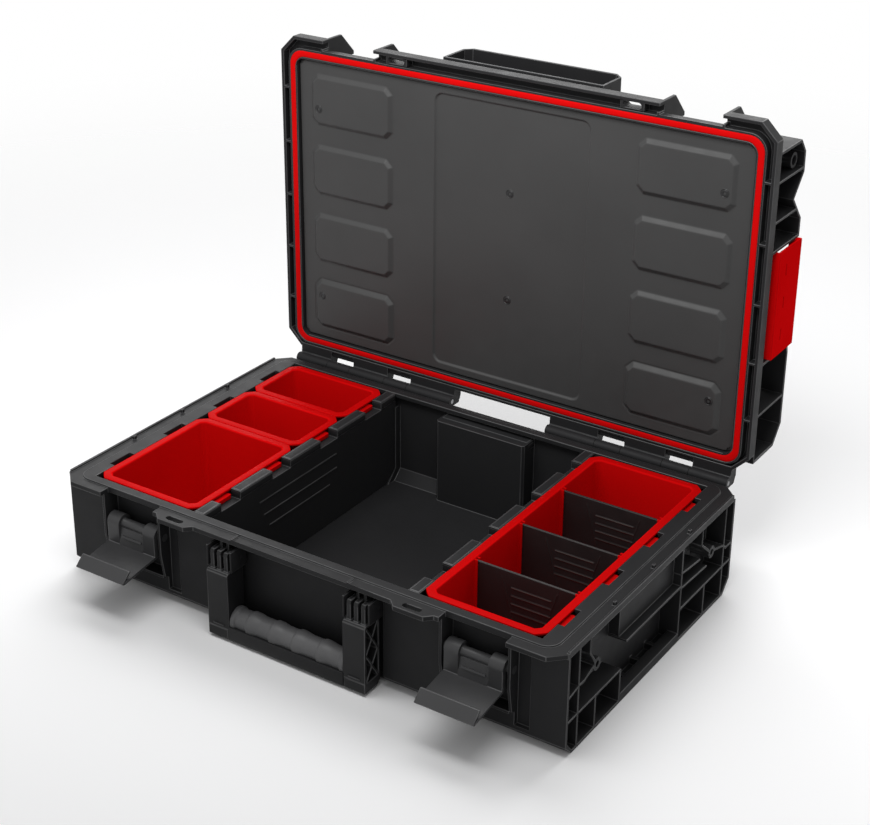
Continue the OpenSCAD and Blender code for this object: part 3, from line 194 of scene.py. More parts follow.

# %% [markdown]
# # The finishes of this case
# The shells are a near black polypropylene, the levers and the panel a shade lighter, and the
# grip a dull grey rubber. Seal, clips and bins share one red, but each takes the light
# differently: the bins have a slight sheen, while seal and clips are matt. The lighter shades
# for edges and for lines are painted highlights on rounded edges and raised lines.

# %% Finishes
recipes = {
    "charcoal_plastic": (srgb(36, 36, 37), srgb(39, 39, 40), (0.46, 0.56), {"specular": 0.12}),
    # The finishes for edges and lines are lighter shades that paint highlights where light catches.
    "charcoal_edge_highlight": (srgb(54, 54, 55), srgb(72, 72, 73), (0.34, 0.5), {"mottle": 40.0}),
    "panel_plastic": (srgb(58, 58, 58), srgb(63, 63, 63), (0.44, 0.54), {"specular": 0.3}),
    "lever_plastic": (srgb(55, 55, 56), srgb(61, 61, 62), (0.36, 0.48), {"specular": 0.3}),
    "grip_rubber": (srgb(78, 78, 79), srgb(90, 90, 91), (0.42, 0.56), {"grain": 900.0, "depth": 0.00008}),
    "divider_plastic": (srgb(34, 30, 30), srgb(41, 36, 36), (0.36, 0.5), {"specular": 0.3}),
    # A lighter shade for the tops of the dividers' raised lines: a painted highlight.
    "divider_line_highlight": (srgb(74, 68, 66), srgb(86, 80, 77), (0.36, 0.5), {"specular": 0.3}),
    "red_seal": (srgb(208, 7, 9), srgb(220, 11, 12), (0.5, 0.64), {"grain": 700.0, "specular": 0.03}),
    "red_clip_plastic": (srgb(232, 8, 12), srgb(242, 13, 17), (0.5, 0.62), {"specular": 0.0}),
    "red_bin_plastic": (srgb(190, 6, 7), srgb(200, 9, 10), (0.4, 0.5), {"specular": 0.015}),
    # A lighter red for the edges of bins and clips: a painted highlight.
    "red_bin_edge_highlight": (srgb(204, 8, 10), srgb(216, 14, 16), (0.44, 0.54), {"specular": 0.0}),
    "handle_plastic": (srgb(26, 26, 27), srgb(31, 31, 32), (0.42, 0.54), {"specular": 0.2}),
    "lever_edge_highlight": (srgb(66, 66, 67), srgb(84, 84, 85), (0.34, 0.46), {"mottle": 40.0}),
    # Black for the screws, and painted shade for the handle's pin holes and pins.
    "screw_black_and_painted_shade": (srgb(24, 24, 25), srgb(30, 30, 31), (0.3, 0.4), {}),
    "steel": (srgb(120, 120, 122), srgb(150, 150, 152), (0.3, 0.45), {}),
}
finishes = {name: moulded(name, dark, light, rough, **more) for name, (dark, light, rough, more) in recipes.items()}
finishes["steel"].node_tree.nodes["Principled BSDF"].inputs["Metallic"].default_value = 0.9
print("finishes:", ", ".join(finishes))

# %% [markdown]
# # Adding a piece to the scene
# Each piece rides on one body of the case, so that it moves with it. A piece that is drawn instead
# of a node also stands for that node, which is then hidden.


def add_to_scene(piece, body, stands_for=()):
    """Links a finished piece, lets it ride on its body and stand for its nodes."""
    bpy.context.scene.collection.objects.link(piece)
    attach(piece, body)
    if stands_for:
        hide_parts(*stands_for)
    return piece


# %% [markdown]
# # Soft edges on the moulded shells
# The big shells of base and lid have the right shape already, but their edges are knife sharp,
# and a real mould has a small radius everywhere. A node's mesh may not change, so a copy of it is
# merged into whole faces, gets a bevel along its longer edges, and stands for the node. The bevel
# puts its own faces into a second, lighter finish, a painted highlight where the edges catch the light.
# Weighted normals then keep the large faces flat, so that only the rounded edges shade softly.

# %% Bevelled copy of a node
CREASE = math.radians(28)  # An edge that turns by more than this is a real corner, not a curve


def bevelled_copy(node, finish, edge_highlight_finish=None, radius=0.6, least_edge=1.6):
    """A merged copy of a node with rounded edges, in millimetres, that stands for it."""
    mesh = nodes[node].data.copy()
    mesh.materials.clear()
    work = bmesh.new()
    work.from_mesh(mesh)
    bmesh.ops.remove_doubles(work, verts=work.verts, dist=0.02 * MM)
    bmesh.ops.join_triangles(work, faces=work.faces, angle_face_threshold=math.radians(1),
                             angle_shape_threshold=math.pi)
    weight = work.edges.layers.float.new("bevel_weight_edge")
    for edge in work.edges:
        turned = len(edge.link_faces) == 2 and edge.calc_face_angle() > CREASE
        edge[weight] = 1.0 if turned and edge.calc_length() > least_edge * MM else 0.0
    work.to_mesh(mesh)
    work.free()
    mesh.name = node + "_finished"
    mesh.materials.append(finishes[finish])
    mesh.materials.append(finishes[edge_highlight_finish or finish])
    piece = bpy.data.objects.new(node + "_finished", mesh)
    mesh.shade_smooth()
    mesh.set_sharp_from_angle(angle=CREASE)
    bevel = piece.modifiers.new("soft_edges", "BEVEL")
    bevel.width, bevel.segments = radius * MM, 2
    bevel.limit_method = "WEIGHT"
    bevel.use_clamp_overlap = False
    # The bevel's faces take the lighter finish, a painted highlight.
    bevel.material = 1
    flat = piece.modifiers.new("flat_faces", "WEIGHTED_NORMAL")
    flat.keep_sharp, flat.weight = True, 100
    return add_to_scene(piece, nodes[node]["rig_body"], [node])


shells = [bevelled_copy("base_shell", "charcoal_plastic", "charcoal_edge_highlight"),
          bevelled_copy("lid_shell", "charcoal_plastic", "charcoal_edge_highlight")]
print("shell faces before bevel:", [len(s.data.polygons) for s in shells])

# %% [markdown]
# # Drawing closed surfaces
# The loose pieces of the case are drawn afresh, as surfaces of two parameters. One parameter runs
# round an outline, a rectangle whose corners are cut off and more or less rounded. The other runs
# through a stack of such outlines, which gives walls, lips and fillets in one closed skin. Every
# piece below is such a stack, a lathe of one profile, or a grid whose height is a formula.

# %% Outlines and stacks
def ring(w, d, cut, soft=0.2, z=0.0, steps=6, cx=0.0, cy=0.0):
    """Outline w by d at height z: each corner runs between the two points that lie `cut` from it,
    as (1 - soft) of the straight cut plus soft of the quarter circle."""
    t = np.linspace(0, 1, steps)
    ex = cut * ((1 - soft) * (1 - t) + soft * np.cos(t * np.pi / 2))
    ey = cut * ((1 - soft) * t + soft * np.sin(t * np.pi / 2))
    hx, hy = w / 2 - cut, d / 2 - cut
    x = np.concatenate([hx + ex, -hx - ey, -hx - ex, hx + ey])
    y = np.concatenate([hy + ey, hy + ex, -hy - ey, -hy - ex])
    return np.stack([cx + x, cy + y, np.full(x.size, float(z))], 1)


def stack(rings, closed=False, highlight_rows=()):
    """A skin through rings of equal length, from the first to the last; closed joins the ends,
    otherwise each end gets a cap. Rows that are named take the second, lighter finish, a painted highlight."""
    rings = np.asarray(rings)
    rows, count = rings.shape[:2]
    i, j = np.meshgrid(np.arange(rows if closed else rows - 1), np.arange(count), indexing="ij")
    up, along = (i + 1) % rows, (j + 1) % count
    quads = np.stack([i * count + j, i * count + along, up * count + along, up * count + j], -1).reshape(-1, 4)
    highlight_marks = np.isin(i.ravel(), list(highlight_rows)).astype(int)
    caps = [] if closed else [np.arange(count)[::-1], (rows - 1) * count + np.arange(count)]
    return rings.reshape(-1, 3), quads, caps, highlight_marks


def joined(parts):
    """Several closed skins as one."""
    points, quads, caps, highlight_marks, first = [], [], [], [], 0
    for part in parts:
        points.append(part[0])
        quads.append(part[1] + first)
        caps += [cap + first for cap in part[2]]
        highlight_marks.append(part[3])
        first += len(part[0])
    return np.concatenate(points), np.concatenate(quads), caps, np.concatenate(highlight_marks)


print("points in one outline:", len(ring(10, 10, 2)))

# %% [markdown]
# # Plates and turned parts
# Two shapes come back often. A small plate or rib is a stack whose first and last outlines draw in
# along a quarter circle, so its edges catch the light. A screw, tube or grip is turned: one profile
# goes round an axis. A bevel modifier would do the same, but here the faces stay few and even.

# %% Soft plates and the lathe
def soft_plate(low, high, cut=1.0, soft=1.0, edge=0.6, steps=4):
    """A block between two corners with cut or rounded upright edges; its top and bottom edges
    follow a quarter circle of radius edge."""
    low, high = np.array(low, float), np.array(high, float)
    (w, d, h), (cx, cy, _) = high - low, (high + low) / 2
    a = np.linspace(0, np.pi / 2, 4)
    inset = edge * (1 - np.sin(a))
    rise = edge * (1 - np.cos(a))
    lower = [(e, low[2] + r) for e, r in zip(inset, rise)]
    upper = [(e, high[2] - r) for e, r in zip(inset[::-1], rise[::-1])]
    rings = [ring(w - 2 * e, d - 2 * e, max(cut - e, 0.05), soft, z, steps, cx, cy) for e, z in lower + upper]
    # The rounded rows at top and bottom take the second finish, a painted highlight.
    return stack(rings, highlight_rows=(0, 1, 2, 4, 5, 6))


def lathe(profile, around=48):
    """The profile, as (radius, height), turned round the z axis."""
    profile = np.array(profile, float)
    a = np.linspace(0, 2 * np.pi, around, endpoint=False)
    r, z = profile[:, :1], profile[:, 1:]
    return stack(np.stack([r * np.cos(a), r * np.sin(a), z + 0 * a], -1))


print("plate of", len(soft_plate((0, 0, 0), (10, 10, 5))[1]), "faces")

# %% [markdown]
# # Moving a skin
# A skin is drawn where its formula is easiest, and is then laid down, shifted, mirrored to the
# left side, or opened with the lid. These are plain changes of its points, made before the mesh is
# written, because every object here has to stay at the origin, unturned and unscaled.

# %% Laying, moving and mirroring a skin
def lying(part):
    """The same skin with its z axis laid along x."""
    return part[0][:, [2, 0, 1]], *part[1:]


def carried(outline, first, last):
    """An outline in y and z, counterclockwise, carried along x from first to last."""
    outline = np.array(outline, float)
    return lying(stack([np.column_stack([outline, np.full(len(outline), float(x))]) for x in (first, last)]))


def moved(part, by):
    """The same skin, shifted."""
    return part[0] + np.array(by), *part[1:]


def mirrored(part):
    """The same skin on the other side of the case, faces still outward."""
    return part[0] * [-1, 1, 1], part[1][:, ::-1], [cap[::-1] for cap in part[2]], part[3]


def opened(part):
    """A skin of the closed lid, turned with it by 90 degrees about the hinge."""
    x, y, z = part[0].T
    return np.stack([x, hinge_y + z - hinge_z, hinge_z - (y - hinge_y)], 1), *part[1:]


print("a point of the closed lid, opened:", opened((np.array([[0.0, hinge_y - 10, hinge_z]]),))[0][0])

# %% [markdown]
# # From a skin to a mesh
# Blender takes long lists of numbers much faster than single vertices, so points, corners and
# faces each go over in one call. Faces are shaded smooth, and edges that turn sharply stay sharp.

# %% Writing a skin as a piece
def new_piece(name, part, finish, body, stands_for=(), edge_highlight_finish=None, sharp=40.0):
    """Writes a skin as a mesh in metres and adds it to the scene; edges that turn by more than
    `sharp` degrees stay sharp."""
    points, quads, caps, highlight_marks = part
    mesh = bpy.data.meshes.new(name)
    mesh.vertices.add(len(points))
    mesh.vertices.foreach_set("co", (points * MM).astype(np.float32).ravel())
    loops = np.concatenate([quads.ravel(), *caps]).astype(np.int32)
    sizes = np.array([4] * len(quads) + [len(c) for c in caps])
    mesh.loops.add(len(loops))
    mesh.loops.foreach_set("vertex_index", loops)
    mesh.polygons.add(len(sizes))
    mesh.polygons.foreach_set("loop_start", np.concatenate([[0], np.cumsum(sizes)[:-1]]).astype(np.int32))
    mesh.materials.append(finishes[finish])
    mesh.materials.append(finishes[edge_highlight_finish or finish])
    # Marked faces take the second finish, a painted highlight.
    mesh.polygons.foreach_set("material_index", np.concatenate([highlight_marks, np.zeros(len(caps), int)]).astype(np.int32))
    mesh.update(calc_edges=True)
    mesh.shade_smooth()
    mesh.set_sharp_from_angle(angle=math.radians(sharp))
    return add_to_scene(bpy.data.objects.new(name, mesh), body, stands_for)


print("pieces so far:", [shell.name for shell in shells])

# %% [markdown]
# # Bins
# A bin is a deep moulded box with a broad flat lip. Its lip has cut corners outside and round ones
# inside, its walls lean in a little towards the foot so that it leaves the mould, and a fillet
# runs round its floor. All of that is one stack of outlines, which climbs the outside, turns over
# the lip and goes down the inside. A box with a solidify modifier would be quicker to make, but it
# has no lip and no fillet. The small tabs below the lip rest in notches of the case.

# %% The skin of a bin
bin_low, bin_high = span("bin_long")
lip_top, bin_foot = bin_high[2], bin_low[2]
lip_w, tab_out = 126.0, 4.0
tab_in, tab_half, tab_low, tab_high = 7.0, 11.0, lip_top - 8.8, lip_top - 4.2
bin_middle_x = (bin_low[0] + bin_high[0]) / 2
cell_length, bin_gap = 80.0, 0.8
cells_start = bin_low[1] - bin_gap / 2
bin_lip, bin_wall = 6.5, 2.0


def bin_skin(first, count):
    """The skin of a bin over some cells, on the right side of the case."""
    d = count * cell_length - bin_gap
    cy = cells_start + (first + count / 2) * cell_length
    q = bin_lip + bin_wall
    # Each row: inset from the lip's edge, height, corner cut, roundness of the corner
    outside = [(bin_lip + 4.0, bin_foot, 6, 0.6), (bin_lip + 2.4, bin_foot + 0.5, 6, 0.6),
               (bin_lip + 1.6, bin_foot + 2.2, 6.4, 0.6), (bin_lip + 0.1, lip_top - 3.4, 7, 0.6),
               (bin_lip - 0.2, lip_top - 2.5, 7, 0.4), (0.5, lip_top - 2.4, 8.8, 0.15),
               (0, lip_top - 2.0, 9, 0.15), (0, lip_top - 0.7, 9, 0.15), (0.2, lip_top - 0.2, 8.9, 0.15),
               (0.7, lip_top, 8.7, 0.15)]
    inside = [(q - 1.6, lip_top, 5.4, 0.2), (q - 0.8, lip_top - 0.15, 5.2, 0.2), (q - 0.25, lip_top - 0.6, 5.0, 0.2),
              (q, lip_top - 1.5, 5.0, 0.25), (q + 1.3, bin_foot + 7, 4.8, 0.5), (q + 1.9, bin_foot + 4.4, 4.6, 0.6),
              (q + 3.2, bin_foot + 2.9, 4.4, 0.7), (q + 5.4, bin_foot + 2.1, 4.2, 0.8), (q + 9, bin_foot + 2, 4, 0.9)]
    rings = [ring(lip_w - 2 * e, d - 2 * e, cut, soft, z, 8, bin_middle_x, cy)
             for e, z, cut, soft in outside + inside]
    # The rows round the lip's edges take the lighter red, a painted highlight.
    parts = [stack(rings, highlight_rows=(7, 8, 10, 11, 12))]
    for k in range(first, first + count):
        y = cells_start + (k + 0.5) * cell_length
        for x0, x1 in ((bin_low[0], bin_low[0] + tab_out + tab_in), (bin_high[0] - tab_out - tab_in, bin_high[0])):
            parts.append(soft_plate((x0, y - tab_half, tab_low), (x1, y + tab_half, tab_high), 1.6, 1, 0.5))
    return joined(parts)


print("clear width inside a bin:", lip_w - 2 * (bin_lip + bin_wall))

# %% [markdown]
# # Four bins and the rails of the long one
# One long bin stands on the right and three smaller ones on the left. They are the same skin over
# another number of cells, and the left ones are mirrored. Pairs of thin upright rails inside the
# long bin hold the dividers, so each pair leaves a slot of the divider's thickness between them.

# %% The four bins
rail_at = [cells_start + (k + 1) * cell_length for k in range(3)]
rail_half, rail_thick = 3.0, 1.8
rail_from_slot = 1.2 + 0.3 + rail_thick / 2  # Half a divider, its clearance and half a rail
long_bin = [bin_skin(0, 4)]
for y in rail_at:
    for side in (-1, 1):
        for x in (bin_low[0] + tab_out + bin_lip + bin_wall, bin_high[0] - tab_out - bin_lip - bin_wall):
            middle = y + side * rail_from_slot
            long_bin.append(soft_plate((x - rail_half, middle - rail_thick / 2, bin_foot + 1.5),
                                       (x + rail_half, middle + rail_thick / 2, lip_top - 1.2), 0.5, 1, 0.4))
bin_skins = {"bin_long": joined(long_bin)}
for name, first, count in (("bin_large", 0, 2), ("bin_middle", 2, 1), ("bin_rear", 3, 1)):
    bin_skins[name] = mirrored(bin_skin(first, count))
for name, skin in bin_skins.items():
    new_piece(name + "_skin", skin, "red_bin_plastic", nodes[name]["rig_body"], [name], "red_bin_edge_highlight")
print("bin lip at", round(lip_top, 2), "foot at", round(bin_foot, 2), "cells from", round(cells_start, 2))

# %% [markdown]
# # Grids with a height formula
# The lid's inner panel and the dividers are flat plates with a low relief. Each is a grid over
# the plate, and the height of every grid point is a formula: a step that rises smoothly where a
# signed distance from an outline changes sign. The grid lines crowd together near the steps, so
# the slopes stay crisp without many faces elsewhere.

# %% Relief on a grid
def grid_lines(low, high, crowds, near=0.8, far=7.0, reach=(4.0, 4.0)):
    """Line positions from low to high: `near` apart around each crowd, `far` apart elsewhere."""
    fine = [np.arange(c - reach[0], c + reach[1] + near / 2, near) for c in crowds]
    lines = np.concatenate([np.arange(low, high, far), [low, high], *fine])
    lines = np.unique(np.round(lines[(lines >= low) & (lines <= high)], 3))
    keep = np.concatenate([[True], np.diff(lines) > near * 0.45])
    keep[-1] = True
    return lines[keep]


def inside_of(x, y, cx, cy, w, d, cut):
    """Signed distance, positive inside, to a rectangle with cut corners."""
    u, v = w / 2 - np.abs(x - cx), d / 2 - np.abs(y - cy)
    return np.minimum(np.minimum(u, v), (u + v - cut) / math.sqrt(2))


def inside_round(x, y, cx, cy, w, d, r):
    """Signed distance, positive inside, to a rectangle with corners of radius r."""
    u, v = np.abs(x - cx) - (w / 2 - r), np.abs(y - cy) - (d / 2 - r)
    return r - np.hypot(np.maximum(u, 0), np.maximum(v, 0)) - np.minimum(np.maximum(u, v), 0)


def slope(distance, width):
    """0 outside, 1 inside; the rise takes that width, with softly rounded ends."""
    t = np.clip(distance / width, 0, 1)
    return 0.35 * t + 0.65 * t * t * (3 - 2 * t)


def line_bump(distance, half):
    """1 on a line, falling to 0 at that distance from it."""
    t = np.clip(1 - np.abs(distance) / half, 0, 1)
    return np.minimum(1, 1.6 * t)


print("slope at its middle:", round(float(slope(np.array(1.0), 2.0)), 2))

# %% [markdown]
# # A plate with a relief
# The front of such a plate is the grid with its heights, the back is one flat face, and a skirt of
# quads joins the two round the rim, so the plate is closed like a real sheet.

# %% Relief plate
def relief(xs, ys, height, back):
    """A closed plate: the front is a grid of that height field, the back is flat at `back`."""
    x, y = np.meshgrid(xs, ys, indexing="ij")
    front = np.stack([x, y, height(x, y)], -1).reshape(-1, 3)
    rows, cols = x.shape
    i, j = np.meshgrid(np.arange(rows - 1), np.arange(cols - 1), indexing="ij")
    quads = np.stack([i * cols + j, (i + 1) * cols + j, (i + 1) * cols + j + 1, i * cols + j + 1], -1).reshape(-1, 4)
    rim = np.concatenate([np.arange(rows) * cols, (rows - 1) * cols + np.arange(1, cols),
                          np.arange(rows - 2, -1, -1) * cols + cols - 1, np.arange(cols - 2, 0, -1)])
    behind = front[rim].copy()
    behind[:, 2] = back
    low = len(front) + np.arange(len(rim))
    turn = np.roll(np.arange(len(rim)), -1)
    skirt = np.stack([rim, low, low[turn], rim[turn]], 1)
    points = np.concatenate([front, behind])
    return points, np.concatenate([quads, skirt]), [low[::-1]], np.zeros(len(quads) + len(skirt), int)


def facing_down(part, plane):
    """A relief turned over, so that its heights point down from that plane."""
    x, y, z = part[0].T
    return np.stack([x, y, plane - z], 1), part[1][:, ::-1], [cap[::-1] for cap in part[2]], part[3]


print("faces of a small relief:", len(relief([0, 1, 2], [0, 1, 2], lambda x, y: 0 * x, -1)[1]))

# %% [markdown]
# # The lid's inner panel
# This panel is a thin moulded sheet, screwed into the lid. Four low pads on each side meet the
# cells of the bins when the lid is shut, and the broad middle field is set back a little. Pads
# modelled one by one would have to be cut into the sheet; a height formula gives the pads, their
# slopes and the fine groove at their foot in one go. The sheet is drawn as it lies in the closed
# lid, looking down into the case.

# %% Height of the lid panel
lid_plane = 110.4
panel_low, panel_high = span("lid_inner_panel")
panel_half = panel_high[0]
panel_depth = panel_high[2] - panel_low[2]
panel_middle = hinge_y + hinge_z - (panel_low[2] + panel_high[2]) / 2
panel_face, pad_rise, field_drop = lid_plane + 4.0, 3.5, 1.8
pad_w, pad_d, pad_cut, pad_slope = 106, 57, 8, 4.4
pad_margin, pad_pitch = 16, 79.0
pad_x = panel_half - pad_margin - pad_w / 2
pad_ys = [panel_middle + (k - 1.5) * pad_pitch for k in range(4)]
field_w, field_d, field_radius = 184, panel_depth - 16, 10
panel_radius = 8


def panel_height(x, y):
    """Depth of the sheet's face above or below its plane; positive towards the case."""
    h = np.zeros_like(x)
    for cy in pad_ys:
        inner = inside_of(np.abs(x), y, pad_x, cy, pad_w, pad_d, pad_cut)
        groove = 0.5 * line_bump(np.abs(inner + 0.8), 1.0)
        h = np.maximum(h, pad_rise * np.clip(inner / pad_slope, 0, 1)) - groove
    h = h - field_drop * slope(inside_round(x, y, 0, panel_middle, field_w, field_d, field_radius), 1.8)
    edge = inside_round(x, y, 0, panel_middle, 2 * panel_half, panel_depth, panel_radius)
    return h - 1.2 * (1 - np.sqrt(1 - np.clip(1 - edge / 1.2, 0, 1) ** 2))


print("pads at x", round(pad_x, 1), "and y", np.round(pad_ys, 1))

# %% [markdown]
# # Writing the panel
# The grid lines crowd along the edges of the pads and of the middle field. The square corners of
# the grid are then drawn in to the panel's round ones, and the whole sheet turns with the lid.

# %% The sheet of the panel
x_steps = [s * c for s in (-1, 1) for c in (field_w / 2, pad_x - pad_w / 2, pad_x + pad_w / 2, panel_half)]
y_steps = [cy + s * pad_d / 2 for cy in pad_ys for s in (-1, 1)]
y_steps += [panel_middle + s * h for s in (-1, 1) for h in (field_d / 2, panel_depth / 2)]
sheet_x = grid_lines(-panel_half, panel_half, x_steps, reach=(12.0, 12.0))
sheet_y = grid_lines(panel_middle - panel_depth / 2, panel_middle + panel_depth / 2, y_steps, reach=(11.0, 11.0))
sheet = relief(sheet_x, sheet_y, panel_height, -2.6)


def rounded_corners(points, cx, cy, w, d, r):
    """Draws the square corners of a grid in to quarter discs of radius r, a point at a time:
    in each corner the larger of its two offsets becomes its distance from the disc's centre."""
    u, v = points[:, 0] - cx, points[:, 1] - cy
    a, b = np.maximum(np.abs(u) - (w / 2 - r), 0), np.maximum(np.abs(v) - (d / 2 - r), 0)
    shrink = np.where((a > 0) & (b > 0), np.maximum(a, b) / np.maximum(np.hypot(a, b), 1e-9), 1.0)
    moved_points = points.copy()
    moved_points[:, 0] = cx + np.sign(u) * (np.abs(u) - a + a * shrink)
    moved_points[:, 1] = cy + np.sign(v) * (np.abs(v) - b + b * shrink)
    return moved_points


sheet = (rounded_corners(sheet[0], 0, panel_middle, 2 * panel_half, panel_depth, panel_radius), *sheet[1:])
lid_body = nodes["lid_shell"]["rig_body"]
sheet = opened(facing_down(sheet, panel_face))
new_piece("lid_panel_sheet", sheet, "panel_plastic", lid_body, ["lid_inner_panel"], sharp=60)
print("panel grid:", len(sheet_x), "by", len(sheet_y), "middle of the panel", round(panel_middle, 2))

# %% [markdown]
# # Seal
# The red seal is a soft cord pressed into a groove round the panel, which keeps dust and rain out.
# Its section is a flat arch, and it follows an outline with round corners. A curve with a bevel
# would pinch in the corners, so a stack of outlines is used, closed into a ring.

# %% Seal
seal_low, seal_high = span("lid_seal")
seal_w, seal_depth = seal_high[0] * 2, seal_high[2] - seal_low[2]
seal_middle = hinge_y + hinge_z - (seal_low[2] + seal_high[2]) / 2
# Each row: inset from the outer edge, height above the plane of the lid's rim
seal_section = [(6.5, 3.8), (6.5, 0.7), (6.2, 0.25), (5.6, -0.02), (4.6, -0.15), (3.25, -0.2), (1.9, -0.15),
                (0.9, -0.02), (0.3, 0.25), (0, 0.7), (0, 3.8)]
seal_corner = 16
seal_rings = [ring(seal_w - 2 * e, seal_depth - 2 * e, seal_corner - e / 2, 1, lid_plane + z, 12, 0, seal_middle)
              for e, z in seal_section]
new_piece("lid_seal_cord", opened(stack(seal_rings, closed=True)), "red_seal", lid_body, ["lid_seal"], sharp=50)
print("seal ring", round(seal_w, 1), "by", round(seal_depth, 1))

# %% [markdown]
# # Screws
# Six small screws hold the panel: one on each outer pad and two on the middle field. Each is a
# lathe of a washer, a low head and a recess, in steps of a few tenths of a millimetre, because a
# model of the thread would never be seen.

# %% Screws
pad_screw_in, pad_screw_off, field_screw_off = 27, 51.4, 101.4  # From the side, and from the panel's ends
screw_places = [(s * (panel_half - pad_screw_in), panel_middle + t * (panel_depth / 2 - pad_screw_off), pad_rise)
                for s in (-1, 1) for t in (-1, 1)]
screw_places += [(0, panel_middle + t * (panel_depth / 2 - field_screw_off), -field_drop) for t in (-1, 1)]
# Radius and height of the washer, the head and the recess, from outside to the middle
screw_line = [(4.7, -1.5), (4.7, 0.05), (4.5, 0.22), (4.1, 0.25), (3.9, 0.05), (3.7, -0.1), (3.55, 0.1), (3.3, 0.3),
              (2.2, 0.4), (1.5, 0.38), (1.3, -0.2), (1.1, -0.5)]
screws = [facing_down(moved(lathe(screw_line, 32), (x, y, h)), panel_face) for x, y, h in screw_places]
new_piece("lid_screws", opened(joined(screws)), "screw_black_and_painted_shade", lid_body, ["lid_panel_screws"], sharp=30)
print("screws:", len(screws))

# %% [markdown]
# # Dividers
# Three dark dividers stand in rails of the long bin. Their front carries a raised outline like an
# open bucket with four short bars beside each other, a place to hold a label. The relief is only
# half a millimetre high, which is enough to catch the light along its edges. A bump texture would
# be lost in a side view, so the lines are real, and their tops get a lighter finish, a painted highlight.

# %% Dividers
bucket = np.array([(0.26, 0.93), (0.40, 0.42), (0.66, 0.42), (0.80, 0.93)])  # Shares of width and height
bar_from, bar_to, bar_low, bar_pitch = 0.36, 0.74, 0.585, 0.085


def from_chain(x, y, corners):
    """Distance to a chain of straight lines."""
    best = np.full_like(x, 1e9)
    for (ax, ay), (bx, by) in zip(corners[:-1], corners[1:]):
        t = np.clip(((x - ax) * (bx - ax) + (y - ay) * (by - ay)) / ((bx - ax) ** 2 + (by - ay) ** 2), 0, 1)
        best = np.minimum(best, np.hypot(x - ax - t * (bx - ax), y - ay - t * (by - ay)))
    return best


def divider_skin(node):
    """A plate with the raised bucket outline and bars on its front, edges slightly rounded."""
    low, high = span(node)
    w, h = high[0] - low[0], high[2] - low[2]
    bar_heights = [low[2] + h * (bar_low + bar_pitch * k) for k in range(4)]
    bars = [[(low[0] + bar_from * w, z), (low[0] + bar_to * w, z)] for z in bar_heights]
    outline = np.array([low[0], low[2]]) + bucket * (w, h)

    def height(x, y):
        near = np.minimum.reduce([from_chain(x, y, outline) + 0.4] + [from_chain(x, y, bar) for bar in bars])
        edge = np.minimum.reduce([x - low[0], high[0] - x, y - low[2], high[2] - y])
        return 0.6 * line_bump(near, 1.1) - 0.5 * (1 - slope(edge + 0.2, 0.7))

    xs, ys = (grid_lines(low[k], high[k], [low[k], high[k]], 0.35, 0.55, (1, 1)) for k in (0, 2))
    points, quads, caps, highlight_marks = relief(xs, ys, height, -2.35)
    # The tops of the raised lines take the lighter finish, a painted highlight.
    highlight_marks = (points[quads, 2].mean(1) > 0.45).astype(int)
    x, y, z = points.T
    return np.stack([x, low[1] + 0.6 - z, y], 1), quads, caps, highlight_marks


for node in ("divider_front", "divider_middle", "divider_rear"):
    body = nodes[node]["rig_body"]
    new_piece(node + "_plate", divider_skin(node), "divider_plastic", body, [node], "divider_line_highlight", sharp=60)
print("divider thickness", round(span("divider_front")[1][1] - span("divider_front")[0][1], 2))

# %% [markdown]
# # Grip
# The grip is a rubber sleeve over the beam of the handle. Four collars part the fingers; each one
# rises steeply on its left and runs out gently on its right. It is a lathe of one long profile,
# laid along x, because a sculpted grip would never be as even as a moulded one.

# %% Grip
grip_low, grip_high = span("handle_grip")
grip_l, grip_r = grip_high[0] - grip_low[0], 11.0
collar_shares, collar_height = (0.145, 0.35, 0.555, 0.77), 1.4
end_height, end_width = 1.3, 5.6


def eased(t):
    """0 to 1 with a flat start and end, where t is cut to that range."""
    t = np.clip(t, 0, 1)
    return t ** 2 * (3 - 2 * t)


along = np.linspace(0, grip_l, 260)
swell = np.zeros_like(along)
for share in collar_shares:
    offset = along - share * grip_l
    collar = np.where(offset < 0, eased((offset + 1.5) / 1.5), eased(1 - (offset - 2.5) / 12))
    swell = np.maximum(swell, collar_height * collar)
from_end = np.minimum(along, grip_l - along)
swell = np.maximum(swell, end_height * eased((end_width - from_end) / 0.8))
swell -= 0.8 * np.clip(1 - from_end / 0.8, 0, 1) ** 2
grip_line = np.column_stack([grip_r + swell, along])
grip_place = (grip_low[0], (grip_low[1] + grip_high[1]) / 2, (grip_low[2] + grip_high[2]) / 2)
grip_skin = moved(lying(lathe(grip_line, 72)), grip_place)
new_piece("grip_sleeve", grip_skin, "grip_rubber", nodes["handle_grip"]["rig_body"], ["handle_grip"], sharp=60)
print("grip from", np.round(grip_low, 1), "to", np.round(grip_high, 1))

# %% [markdown]
# # Handle, levers, clips and partitions
# These pieces are thin moulded frames with many flat faces, so they keep their form and only get
# softer edges. Each has its own radius: generous where a hand takes hold of it, small on ribs.

# %% Rounded copies of the other moulded pieces
# Each row: nodes, finish, lighter finish of the edges (a painted highlight), radius of the edges in millimetres
copies = [(("handle_frame",), "handle_plastic", "charcoal_edge_highlight", 0.8),
          (("latch_lever_left", "latch_lever_right"), "lever_plastic", "lever_edge_highlight", 0.6),
          (("side_clip_left", "side_clip_right"), "red_clip_plastic", "red_bin_edge_highlight", 0.7),
          (("partition_left", "partition_right"), "charcoal_plastic", "charcoal_edge_highlight", 0.5)]
rounded = [bevelled_copy(node, finish, edge, radius) for group, finish, edge, radius in copies for node in group]
print("rounded copies:", [piece.name for piece in rounded])

